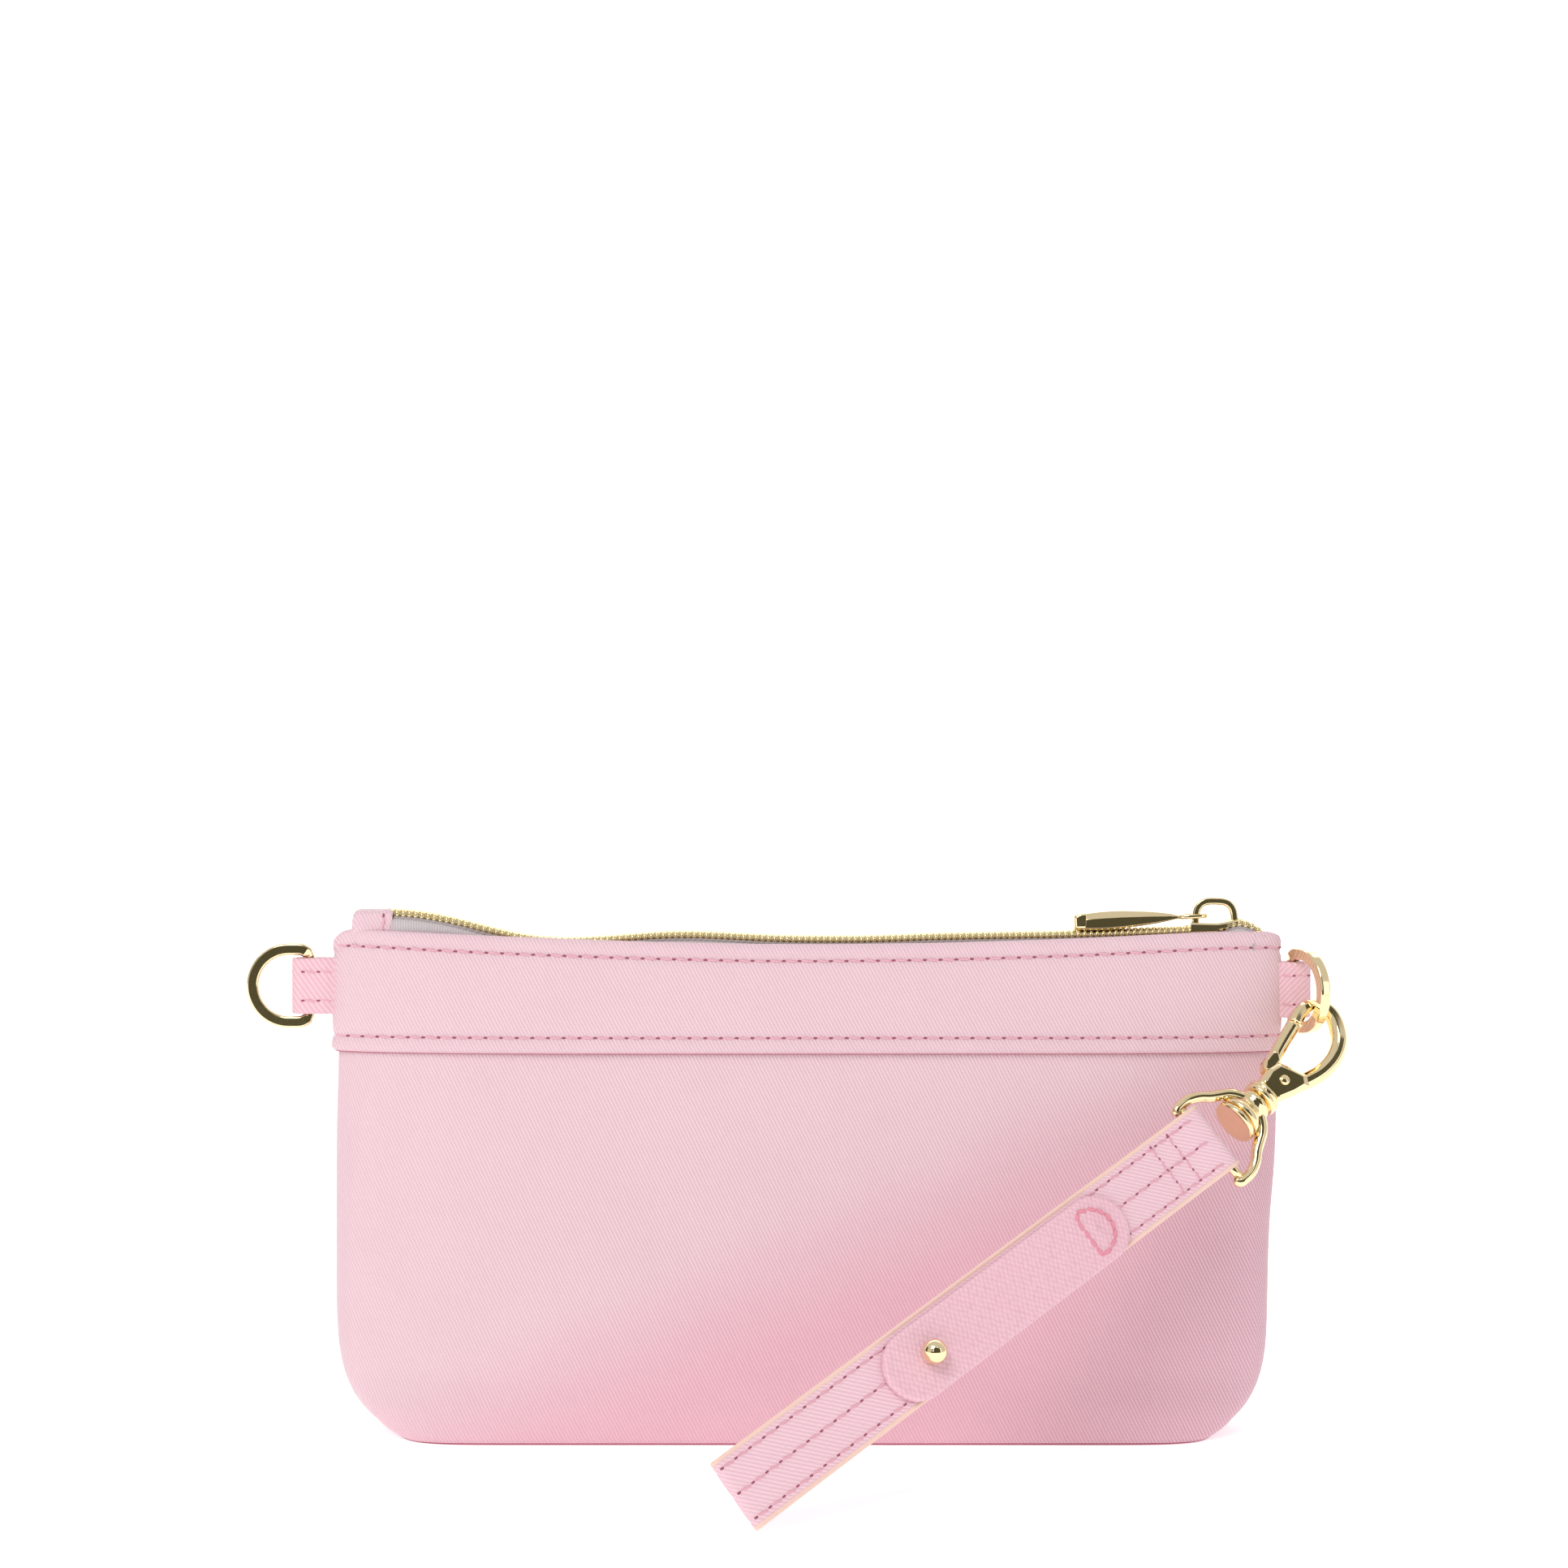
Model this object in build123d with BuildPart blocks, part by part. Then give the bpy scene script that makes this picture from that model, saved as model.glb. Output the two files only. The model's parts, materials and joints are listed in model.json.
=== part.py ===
"""Wristlet wallet: zipped fabric pouch, two D-rings, swivel clasp and doubled wrist strap.

Millimetres. X to the right along the pouch, +Y to its back, Z up.
The origin is the centre of the base, on the table.
"""
import os
from math import cos, radians, sin, tan

from build123d import *

os.makedirs("parts", exist_ok=True)

# ---------------------------------------------------------------- driving dimensions
# Pouch outline: height, half width, half depth, from the flat base up to the mouth.
POUCH_PROFILE = [
    (0, 88, 13),
    (2, 96, 15),
    (7, 101.5, 16.5),
    (15, 104.5, 17),
    (30, 106.5, 16),
    (50, 107.5, 13.5),
    (86, 108, 9.2),
    (114, 108, 6.2),
]
TWILL = 1.2            # coated twill with its backing
LINING = 0.4           # lining cloth
CLOTH_GAP = 0.05       # air between cloths that lie on one another
PANEL_TOP = 111        # the panels end under the band

BAND_PROUD = 1.3       # how far the band stands off the panel
BAND_LOW = 87.4        # lower turned edge of the band
BAND_CORNER = 115.5    # top edge of the band at its ends
BAND_MIDDLE = 112      # top edge of the band at mid length

ZIP_HEIGHT = 117.45    # top of the closed chain over the middle of the pouch
ZIP_SLOPE = 1.163      # degrees; the chain climbs to the left
ZIP_PITCH = 1.65       # size 5 coil
CHAIN_WIDTH = 6.0
CHAIN_THICK = 2.0
CHAIN_LEFT = -97.5
CHAIN_RIGHT = 100.5
TAPE_THICK = 0.5

SLIDER_X = 93.8        # slider centre with the zip closed
SLIDER_LENGTH = 11.9
SLIDER_WIDTH = 8.0
BRIDGE_LENGTH = 10.0
BRIDGE_HEIGHT = 5.0
BRIDGE_BAND = 1.1      # thickness of the arched bridge
BRIDGE_WIDTH = 3.0
PULL_LENGTH = 30.0     # pivot to blunt end
PULL_THICK = 3.2
PULL_WIDTH = 7.0

RING_SPAN = 16.2       # bar side to round side
RING_HEIGHT = 19.5
RING_WIRE = 2.7        # across the wire, in the plane of the ring
RING_DEPTH = 2.5
RING_BAR_RADIUS = 1.3  # turned part of the straight bar
TAB_WIDTH = 12.9       # half inch tab
TAB_CLOTH = 1.2
BAR_FIT = 0.15         # air round the bar in its tab
LEFT_RING = (-114.1, 0, 102.1)
RIGHT_RING = (111.6, 0, 101.2)
LEFT_TAB_END = 118.6   # reach of each tab from the middle of the pouch
RIGHT_TAB_END = 116.0
RIGHT_RING_ANGLE = -69.0   # degrees about Z from straight out, towards the front

CLASP_BAR = (88.3, -28.6, 69.5)    # middle of the bar that carries the strap
STRAP_HEADING = 28.1   # degrees from X, from the table end to the clasp
STRAP_RISE = 28.4      # degrees above the table
STRAP_LEAN = 27.1      # how far the face of the strap looks up
CLASP_TURN = 4.5       # degrees between the strap and the clasp, in their plane

STRAP_REACH = 133.0    # clasp bar to the far fold
STRAP_WIDTH = 16.0
STRAP_CLOTH = 0.7      # twill face
STRAP_BACKING = 0.6
EDGE_PAINT = 0.6       # painted edge, across the strap
FOLD_RADIUS = 1.75     # inside of the fold round the clasp bar
FOLD_RUN = 12.0        # the two layers close up over this length
LAYER_GAP = 0.25       # half the air between the two layers
STRAP_OFFSET = 0.9     # the strap sits to one side on its bar

KEEPER_WIDTH = 14.6
KEEPER_THICK = 1.8
KEEPER_HIGH = -28.0    # ends of the keeper tab, along the strap from the bar
KEEPER_LOW = -93.8
KEEPER_OFFSET = -0.9    # the tab sits a little to one side of the strap
KEEPER_HINGE = -40.0
KEEPER_HOLE = 3.3      # radius; lets the ball through as the tab swings
STUD_AT = -82.6
BALL_RADIUS = 2.6

RIVET = (23.2, -0.4)   # gate rivet, along and across the clasp
HOOK_WIRE = 3.0
BAR_RADIUS = 1.1
POST_RADIUS = 1.5
RUNNING_FIT = 0.06

# ---------------------------------------------------------------- shared frames
zip_plane = Plane(
    origin=(0, 0, ZIP_HEIGHT),
    x_dir=(cos(radians(ZIP_SLOPE)), 0, -sin(radians(ZIP_SLOPE))),
    z_dir=(sin(radians(ZIP_SLOPE)), 0, cos(radians(ZIP_SLOPE))),
)
heading = radians(STRAP_HEADING)
rise = radians(STRAP_RISE)
lean = radians(STRAP_LEAN)
strap_along = Vector(cos(rise) * cos(heading), cos(rise) * sin(heading), sin(rise))
level_out = Vector(sin(heading), -cos(heading), 0)
steep_out = Vector(-sin(rise) * cos(heading), -sin(rise) * sin(heading), cos(rise))
strap_face_dir = level_out * cos(lean) + steep_out * sin(lean)
bar_plane = Plane(origin=CLASP_BAR, x_dir=strap_along, z_dir=strap_face_dir)
clasp_turn = radians(CLASP_TURN)
clasp_plane = Plane(
    origin=CLASP_BAR,
    x_dir=bar_plane.x_dir * cos(clasp_turn) + bar_plane.y_dir * sin(clasp_turn),
    z_dir=strap_face_dir,
)
strap_plane = Plane(
    origin=bar_plane.from_local_coords((0, STRAP_OFFSET, 0)),
    x_dir=bar_plane.x_dir,
    z_dir=bar_plane.z_dir,
)


def save(block, label):
    """Name one finished sub-part and write it out."""
    block.part.label = label
    export_step(block.part, "parts/" + label + ".step")


def across(plane, x=0.0, y=0.0, z=0.0):
    """Plane at a local point, looking along the other plane's X."""
    return Plane(origin=plane.from_local_coords((x, y, z)), x_dir=plane.y_dir, z_dir=plane.x_dir)


def sideways(plane, x=0.0, y=0.0, z=0.0):
    """Plane at a local point, looking along the other plane's Y; its own Y is the other's Z."""
    return Plane(origin=plane.from_local_coords((x, y, z)), x_dir=plane.x_dir, z_dir=-plane.y_dir)


# ---------------------------------------------------------------- pouch shape
def half_sizes(height):
    """Half width and half depth of the pouch at one height."""
    for low, high in zip(POUCH_PROFILE, POUCH_PROFILE[1:]):
        if height <= high[0]:
            part_way = (height - low[0]) / (high[0] - low[0])
            half_width = low[1] + part_way * (high[1] - low[1])
            half_depth = low[2] + part_way * (high[2] - low[2])
            return half_width, half_depth
    return POUCH_PROFILE[-1][1], POUCH_PROFILE[-1][2]


def pouch_form(inset, bottom, top):
    """Solid of the pouch's outline, drawn in by inset, between two heights."""
    between = [row[0] for row in POUCH_PROFILE if bottom < row[0] < top]
    with BuildPart() as form:
        for height in [bottom] + between + [top]:
            half_width, half_depth = half_sizes(height)
            with BuildSketch(Plane.XY.offset(height)):
                SlotOverall(2 * (half_width - inset), 2 * (half_depth - inset))
        loft(ruled=True)
    return form.part


panel_outside = pouch_form(0, 0, PANEL_TOP)
panel_inside = pouch_form(TWILL, TWILL, PANEL_TOP + 1)
lining_outside = pouch_form(TWILL + CLOTH_GAP, TWILL + CLOTH_GAP, PANEL_TOP - 2)
lining_inside = pouch_form(TWILL + CLOTH_GAP + LINING, TWILL + CLOTH_GAP + LINING, PANEL_TOP)
band_outside = pouch_form(-BAND_PROUD, BAND_LOW, BAND_CORNER)
band_inside = pouch_form(-CLOTH_GAP, BAND_LOW - 1, BAND_CORNER + 1)

base_half_width, base_half_depth = half_sizes(0)
BASE_MARGIN = 1.0      # the base stops short of the turned-up edge


def front_half():
    """Keep the half of the block towards the front."""
    split(bisect_by=Plane.XZ, keep=Keep.TOP)


def back_half():
    """Keep the half of the block towards the back."""
    split(bisect_by=Plane.XZ, keep=Keep.BOTTOM)


# The whole twill shell has an opening for the base piece.
with BuildPart() as twill_shell:
    add(panel_outside)
    add(panel_inside, mode=Mode.SUBTRACT)
    with BuildSketch(Plane.XY):
        SlotOverall(2 * (base_half_width - BASE_MARGIN), 2 * (base_half_depth - BASE_MARGIN))
    extrude(amount=TWILL + CLOTH_GAP, mode=Mode.SUBTRACT)

with BuildPart() as front_panel:
    add(twill_shell.part)
    front_half()
save(front_panel, "front_panel")

with BuildPart() as back_panel:
    add(twill_shell.part)
    back_half()
save(back_panel, "back_panel")

with BuildPart() as base_panel:
    with BuildSketch(Plane.XY):
        SlotOverall(
            2 * (base_half_width - BASE_MARGIN - CLOTH_GAP),
            2 * (base_half_depth - BASE_MARGIN - CLOTH_GAP),
        )
    extrude(amount=TWILL)
save(base_panel, "base_panel")

with BuildPart() as lining_front:
    add(lining_outside)
    add(lining_inside, mode=Mode.SUBTRACT)
    front_half()
save(lining_front, "lining_front")

with BuildPart() as lining_back:
    add(lining_outside)
    add(lining_inside, mode=Mode.SUBTRACT)
    back_half()
save(lining_back, "lining_back")

# Patch pocket on the back lining, open at the top.
POCKET_WIDTH = 110
POCKET_LOW = 24
POCKET_HIGH = 92
pocket_skin = TWILL + LINING + 3 * CLOTH_GAP
pocket_outside = pouch_form(pocket_skin, POCKET_LOW, POCKET_HIGH)
pocket_inside = pouch_form(pocket_skin + LINING, POCKET_LOW - 1, POCKET_HIGH + 1)

with BuildPart() as inner_pocket:
    add(pocket_outside)
    add(pocket_inside, mode=Mode.SUBTRACT)
    with BuildSketch(Plane.XY):
        with Locations((0, 30)):
            Rectangle(POCKET_WIDTH, 60)
    extrude(amount=150, mode=Mode.INTERSECT)
save(inner_pocket, "inner_pocket")


# The band goes right round the pouch, and its top edge dips towards mid length.
with BuildPart() as header_band:
    half_length = POUCH_PROFILE[-1][1] + BAND_PROUD
    add(band_outside)
    add(band_inside, mode=Mode.SUBTRACT)
    with BuildSketch(Plane.XZ):
        with BuildLine():
            ThreePointArc((-half_length, BAND_CORNER), (0, BAND_MIDDLE), (half_length, BAND_CORNER))
            Polyline(
                (half_length, BAND_CORNER),
                (half_length, BAND_CORNER + 5),
                (-half_length, BAND_CORNER + 5),
                (-half_length, BAND_CORNER),
            )
        make_face()
    extrude(amount=20, both=True, mode=Mode.SUBTRACT)

with BuildPart() as front_band:
    add(header_band.part)
    front_half()
save(front_band, "front_band")

with BuildPart() as back_band:
    add(header_band.part)
    back_half()
save(back_band, "back_band")


# ---------------------------------------------------------------- side tabs
def side_tab(side, bar_x, reach, height):
    """Folded tab, from the side seam out round the ring's bar."""
    loop_radius = RING_BAR_RADIUS + BAR_FIT
    seam = side * POUCH_PROFILE[-1][1]
    end = side * (reach - TAB_CLOTH - loop_radius)
    with BuildPart() as tab:
        with BuildSketch(Plane.XY.offset(height - TAB_WIDTH / 2)):
            with Locations((seam, 0)):
                Circle(TAB_CLOTH + CLOTH_GAP)
            with Locations((bar_x, 0), (end, 0)):
                Circle(loop_radius + TAB_CLOTH)
            make_hull()
        extrude(amount=TAB_WIDTH)
        with BuildSketch(Plane.XY.offset(height - TAB_WIDTH / 2)):
            with Locations((bar_x, 0), (end, 0)):
                Circle(loop_radius)
            make_hull()
        extrude(amount=TAB_WIDTH, mode=Mode.SUBTRACT)
        add(band_skin, mode=Mode.SUBTRACT)
    return tab.part


band_skin = pouch_form(-BAND_PROUD - CLOTH_GAP, BAND_LOW, BAND_CORNER)

with BuildPart() as side_tab_left:
    add(side_tab(-1, LEFT_RING[0], LEFT_TAB_END, LEFT_RING[2]))
save(side_tab_left, "side_tab_left")

with BuildPart() as side_tab_right:
    add(side_tab(1, RIGHT_RING[0], RIGHT_TAB_END, RIGHT_RING[2]))
save(side_tab_right, "side_tab_right")


# ---------------------------------------------------------------- D-rings
def d_outline(cut_in):
    """Face of a D, straight side towards -X, drawn in from the ring's outside."""
    half_height = RING_HEIGHT / 2 - cut_in
    straight = -RING_WIRE / 2 + cut_in
    arc_centre = RING_SPAN - RING_WIRE / 2 - RING_HEIGHT / 2
    with BuildSketch() as outline:
        with BuildLine():
            ThreePointArc(
                (arc_centre, -half_height),
                (arc_centre + half_height, 0),
                (arc_centre, half_height),
            )
            Polyline(
                (arc_centre, half_height),
                (straight, half_height),
                (straight, -half_height),
                (arc_centre, -half_height),
            )
        make_face()
    return outline.sketch


def d_ring(bar, angle):
    """D-ring whose bar stands on Z at a point, turned about Z by angle degrees."""
    outward = (cos(radians(angle)), sin(radians(angle)), 0)
    ring_plane = Plane(origin=bar, x_dir=outward, z_dir=(outward[1], -outward[0], 0))
    turned = TAB_WIDTH + 0.7
    with BuildPart() as ring:
        with BuildSketch(ring_plane):
            add(d_outline(0))
        extrude(amount=RING_DEPTH / 2, both=True)
        chamfer(edges().filter_by(GeomType.CIRCLE), 0.5)
        with BuildSketch(ring_plane):
            add(d_outline(RING_WIRE))
        extrude(amount=RING_DEPTH, both=True, mode=Mode.SUBTRACT)
        with BuildSketch(ring_plane):
            Rectangle(RING_WIRE * 1.2, turned)
        extrude(amount=RING_DEPTH, both=True, mode=Mode.SUBTRACT)
        with BuildSketch(Plane(origin=(bar[0], bar[1], bar[2] - turned / 2 - 0.5))):
            Circle(RING_BAR_RADIUS - 0.05)
        extrude(amount=turned + 1)
    return ring.part


with BuildPart() as d_ring_left:
    add(d_ring(LEFT_RING, 180))
save(d_ring_left, "d_ring_left")

with BuildPart() as d_ring_right:
    add(d_ring(RIGHT_RING, RIGHT_RING_ANGLE))
save(d_ring_right, "d_ring_right")

# ---------------------------------------------------------------- zip
chain_length = CHAIN_RIGHT - CHAIN_LEFT
chain_middle = (CHAIN_RIGHT + CHAIN_LEFT) / 2
tooth_count = int(chain_length / ZIP_PITCH / 2) * 2
TOOTH_WIDE = 0.65
RAIL_WIDE = 1.1
TOOTH_REACH = 0.9      # how far each row crosses the middle


def coil_row(side, shift):
    """One row of closed coil: a rail outside and teeth over the middle."""
    outside = side * CHAIN_WIDTH / 2
    tooth_length = CHAIN_WIDTH / 2 + TOOTH_REACH
    with BuildPart() as row:
        with BuildSketch(zip_plane.offset(-CHAIN_THICK)):
            with Locations((chain_middle, outside - side * RAIL_WIDE / 2)):
                Rectangle(chain_length, RAIL_WIDE)
            with Locations((chain_middle + shift, outside - side * tooth_length / 2)):
                with GridLocations(ZIP_PITCH, 0, tooth_count - 4, 1):
                    Rectangle(TOOTH_WIDE, tooth_length)
        extrude(amount=CHAIN_THICK)
    return row.part


with BuildPart() as zip_coil_front:
    add(coil_row(-1, 0))
save(zip_coil_front, "zip_coil_front")

with BuildPart() as zip_coil_back:
    add(coil_row(1, ZIP_PITCH / 2))
save(zip_coil_back, "zip_coil_back")

TAPE_STEM = 0.5        # tape leaves the chain this far from the middle
TAPE_SIDE = 3.9        # tape lies this far from the middle inside the pouch
TAPE_LOW = -17.0


def zip_tape(side):
    """One tape: down from the chain, out to the lining and down along it."""
    near = side * TAPE_STEM
    far = side * (TAPE_SIDE - TAPE_THICK)
    step = side * TAPE_THICK
    top = -CHAIN_THICK - CLOTH_GAP
    with BuildPart() as tape:
        with BuildSketch(across(zip_plane, CHAIN_LEFT + 1)):
            with BuildLine():
                Polyline(
                    (near, top),
                    (near + step, top),
                    (near + step, top - 2.4),
                    (far + step, top - 6),
                    (far + step, TAPE_LOW),
                    (far, TAPE_LOW),
                    (far, top - 6),
                    (near, top - 2.4),
                    close=True,
                )
            make_face()
        extrude(amount=chain_length - 4)
    return tape.part


with BuildPart() as zip_tape_front:
    add(zip_tape(-1))
save(zip_tape_front, "zip_tape_front")

with BuildPart() as zip_tape_back:
    add(zip_tape(1))
save(zip_tape_back, "zip_tape_back")

END_TAB_LEFT = -104.4
END_TAB_RIGHT = -94.9
END_TAB_TOP = 120.1
END_TAB_LOW = 113

with BuildPart() as zip_end_tab:
    end_tab_middle = (END_TAB_LEFT + END_TAB_RIGHT) / 2
    with BuildSketch(Plane.XY.offset(END_TAB_LOW)):
        with Locations((end_tab_middle, 0)):
            RectangleRounded(END_TAB_RIGHT - END_TAB_LEFT, CHAIN_WIDTH + 1.6, 0.6)
    extrude(amount=END_TAB_TOP - END_TAB_LOW)
    with BuildSketch(across(zip_plane, -101.5)):
        with Locations((0, -5)):
            Rectangle(CHAIN_WIDTH + 0.2, 10.2)
    extrude(amount=12, mode=Mode.SUBTRACT)
save(zip_end_tab, "zip_end_tab")

# ---------------------------------------------------------------- zip slider and pull
SLIDER_GAP = 0.15      # air between slider and chain
PLATE = 0.9            # wall of the slider
slider_x = SLIDER_X / cos(radians(ZIP_SLOPE))

with BuildPart() as slider_body:
    with BuildSketch(across(zip_plane, slider_x - SLIDER_LENGTH / 2)):
        channel_high = CHAIN_THICK + 2 * SLIDER_GAP
        with Locations((0, -CHAIN_THICK / 2)):
            Rectangle(SLIDER_WIDTH, channel_high + 2 * PLATE)
            Rectangle(CHAIN_WIDTH + 2 * SLIDER_GAP, channel_high, mode=Mode.SUBTRACT)
        with Locations((0, -CHAIN_THICK - 2)):
            Rectangle(2 * (TAPE_STEM + TAPE_THICK + SLIDER_GAP), 4, mode=Mode.SUBTRACT)
    extrude(amount=SLIDER_LENGTH)
save(slider_body, "slider_body")

bridge_base = SLIDER_GAP + PLATE
with BuildPart() as slider_bridge:
    with BuildSketch(sideways(zip_plane, slider_x, 0, bridge_base)):
        with BuildLine():
            outer_arch = Spline(
                (-BRIDGE_LENGTH / 2, 0),
                (0, BRIDGE_HEIGHT),
                (BRIDGE_LENGTH / 2, 0),
                tangents=((0, 1), (0, -1)),
            )
            Line(outer_arch @ 1, (BRIDGE_LENGTH / 2 - BRIDGE_BAND, 0))
            Spline(
                (BRIDGE_LENGTH / 2 - BRIDGE_BAND, 0),
                (0, BRIDGE_HEIGHT - BRIDGE_BAND),
                (-BRIDGE_LENGTH / 2 + BRIDGE_BAND, 0),
                tangents=((0, 1), (0, -1)),
            )
            Line((-BRIDGE_LENGTH / 2 + BRIDGE_BAND, 0), outer_arch @ 0)
        make_face()
    extrude(amount=BRIDGE_WIDTH / 2, both=True)
save(slider_bridge, "slider_bridge")

PIVOT_BACK = 2.6       # the pull's pivot, left of the slider's centre
PIVOT_HIGH = 2.6       # and above the chain
PIVOT_RADIUS = 0.8
EYE_LONG = 4.2         # inside of the eye, from the pivot
EYE_WIDE = BRIDGE_WIDTH + 0.6
pull_plane = Plane(
    origin=zip_plane.from_local_coords((slider_x - PIVOT_BACK, 0, PIVOT_HIGH)),
    x_dir=-zip_plane.x_dir,
    z_dir=zip_plane.z_dir,
)

with BuildPart() as zip_pull:
    # Side view: thin at the eye, thickest two thirds along, blunt at the end.
    with BuildSketch(sideways(pull_plane)):
        with BuildLine():
            Spline(
                (0, PIVOT_RADIUS),
                (PULL_LENGTH * 0.62, PULL_THICK / 2),
                (PULL_LENGTH, PULL_THICK * 0.4),
            )
            Line((PULL_LENGTH, PULL_THICK * 0.4), (PULL_LENGTH, -PULL_THICK * 0.4))
            Spline(
                (PULL_LENGTH, -PULL_THICK * 0.4),
                (PULL_LENGTH * 0.62, -PULL_THICK / 2),
                (0, -PIVOT_RADIUS),
            )
            Line((0, -PIVOT_RADIUS), (0, PIVOT_RADIUS))
        make_face()
        Circle(PIVOT_RADIUS)
    extrude(amount=PULL_WIDTH, both=True)
    # Plan view: an eye, a waist, a long torpedo body.
    with BuildSketch(pull_plane.offset(-PULL_THICK)):
        with BuildLine():
            Spline(
                (-PIVOT_RADIUS, 2.9),
                (EYE_LONG, 2.7),
                (PULL_LENGTH * 0.62, PULL_WIDTH / 2),
                (PULL_LENGTH, PULL_WIDTH * 0.42),
            )
            Line((PULL_LENGTH, PULL_WIDTH * 0.42), (PULL_LENGTH, -PULL_WIDTH * 0.42))
            Spline(
                (PULL_LENGTH, -PULL_WIDTH * 0.42),
                (PULL_LENGTH * 0.62, -PULL_WIDTH / 2),
                (EYE_LONG, -2.7),
                (-PIVOT_RADIUS, -2.9),
            )
            Line((-PIVOT_RADIUS, -2.9), (-PIVOT_RADIUS, 2.9))
        make_face()
        with Locations(((PIVOT_RADIUS + EYE_LONG) / 2, 0)):
            Rectangle(EYE_LONG - PIVOT_RADIUS, EYE_WIDE, mode=Mode.SUBTRACT)
    extrude(amount=2 * PULL_THICK, mode=Mode.INTERSECT)
save(zip_pull, "zip_pull")

# ---------------------------------------------------------------- swivel clasp
BASE_THICK = 2.6
ARM_OUT = 10.5         # arm ends, either side of the clasp's centre line
ARCH_TOP = 10.1
NECK_TOP = 15.7
HEAD_LOW = 7.5         # flat round head of the post, inside the arch
HEAD_THICK = 1.3
HEAD_RADIUS = 4.8
COLLAR_LOW = 16.0
COLLAR_TOP = 18.4
COLLAR_RADIUS = 4.05
HOOK_DEPTH = 5.2       # knuckle, across the gate

with BuildPart() as clasp_base:
    with BuildSketch(clasp_plane):
        with Locations((0.3, ARM_OUT), (0.3, -ARM_OUT)):
            Circle(1.4)
        with Locations((3.4, ARM_OUT - 0.9), (3.4, 0.9 - ARM_OUT)):
            Circle(1.7)
        with Locations((NECK_TOP - 2.2, 3.2), (NECK_TOP - 2.2, -3.2)):
            Circle(2.2)
        make_hull()
    extrude(amount=BASE_THICK / 2, both=True)
    with BuildSketch(clasp_plane):
        with Locations((-4, 8.1), (-4, -8.1), (3.4, 8.1), (3.4, -8.1)):
            Circle(1.2)
        with Locations((ARCH_TOP - 1.9, 3.4), (ARCH_TOP - 1.9, -3.4)):
            Circle(1.9)
        make_hull()
    extrude(amount=BASE_THICK, both=True, mode=Mode.SUBTRACT)
    with BuildSketch(sideways(clasp_plane)):
        Circle(BAR_RADIUS)
    extrude(amount=ARM_OUT - 0.2, both=True)
    with BuildSketch(across(clasp_plane, ARCH_TOP - 1)):
        Circle(POST_RADIUS + RUNNING_FIT)
    extrude(amount=NECK_TOP - ARCH_TOP + 2, mode=Mode.SUBTRACT)
save(clasp_base, "clasp_base")

with BuildPart() as swivel_post:
    with BuildSketch(across(clasp_plane, HEAD_LOW + HEAD_THICK / 2)):
        Circle(POST_RADIUS)
    extrude(amount=COLLAR_TOP - HEAD_LOW - HEAD_THICK / 2)
    with BuildSketch(across(clasp_plane, HEAD_LOW)):
        Circle(HEAD_RADIUS)
    extrude(amount=HEAD_THICK)
    round_edges = edges().filter_by(GeomType.CIRCLE)
    fillet(round_edges.sort_by_distance(clasp_plane.origin)[0], 0.4)
save(swivel_post, "swivel_post")

with BuildPart() as swivel_collar:
    with BuildSketch(across(clasp_plane, COLLAR_LOW)):
        Circle(COLLAR_RADIUS)
    extrude(amount=COLLAR_TOP - COLLAR_LOW)
    fillet(edges().filter_by(GeomType.CIRCLE), 0.6)
    with BuildSketch(across(clasp_plane, COLLAR_LOW - 1)):
        Circle(POST_RADIUS)
    extrude(amount=COLLAR_TOP - COLLAR_LOW + 2, mode=Mode.SUBTRACT)
save(swivel_collar, "swivel_collar")

GATE_THICK = 1.8
SLOT_WIDE = 3.0
KNUCKLE_RADIUS = 3.7

with BuildPart() as clasp_hook:
    with BuildLine(clasp_plane):
        hook_line = Spline(
            (24.0, -1.8),
            (28.0, -3.6),
            (35.5, -4.6),
            (42.6, -1.8),
            (45.6, 3.4),
            (43.9, 7.4),
            (39.0, 8.0),
        )
    with BuildSketch(Plane(origin=hook_line @ 0, x_dir=clasp_plane.z_dir, z_dir=hook_line % 0)):
        RectangleRounded(HOOK_WIRE + 0.4, HOOK_WIRE, 1.2)
    sweep()
    with BuildSketch(clasp_plane):
        with Locations(RIVET):
            Circle(KNUCKLE_RADIUS)
        with Locations((21.5, -0.2)):
            Circle(3.0)
        make_hull()
    extrude(amount=HOOK_DEPTH / 2, both=True)
    with BuildSketch(across(clasp_plane, COLLAR_TOP)):
        Circle(2.9)
    extrude(amount=2.2)
    with BuildSketch(clasp_plane):
        with Locations(RIVET):
            Circle(2.9)
        with Locations((21.8, 6.5)):
            Circle(2.2)
        with Locations((34, 9)):
            Circle(2.0)
        with Locations((34, 4)):
            Circle(2.0)
        make_hull()
    extrude(amount=SLOT_WIDE / 2, both=True, mode=Mode.SUBTRACT)
    with BuildSketch(clasp_plane):
        with Locations(RIVET):
            Circle(0.8)
    extrude(amount=HOOK_DEPTH, both=True, mode=Mode.SUBTRACT)
save(clasp_hook, "clasp_hook")

with BuildPart() as clasp_gate:
    with BuildSketch(clasp_plane):
        with Locations(RIVET):
            Circle(2.5)
        with Locations((22.3, 4.6)):
            Circle(1.1)
        with Locations((26.0, 4.6)):
            Circle(0.9)
        make_hull()
    extrude(amount=GATE_THICK / 2, both=True)
    with BuildSketch(clasp_plane):
        with Locations((25.0, 4.3)):
            Circle(1.0)
        with Locations((36.0, 7.0)):
            Circle(0.9)
        make_hull()
    extrude(amount=GATE_THICK / 2, both=True)
    with BuildSketch(clasp_plane):
        with Locations(RIVET):
            Circle(0.8 + RUNNING_FIT)
    extrude(amount=GATE_THICK, both=True, mode=Mode.SUBTRACT)
save(clasp_gate, "clasp_gate")

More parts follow.
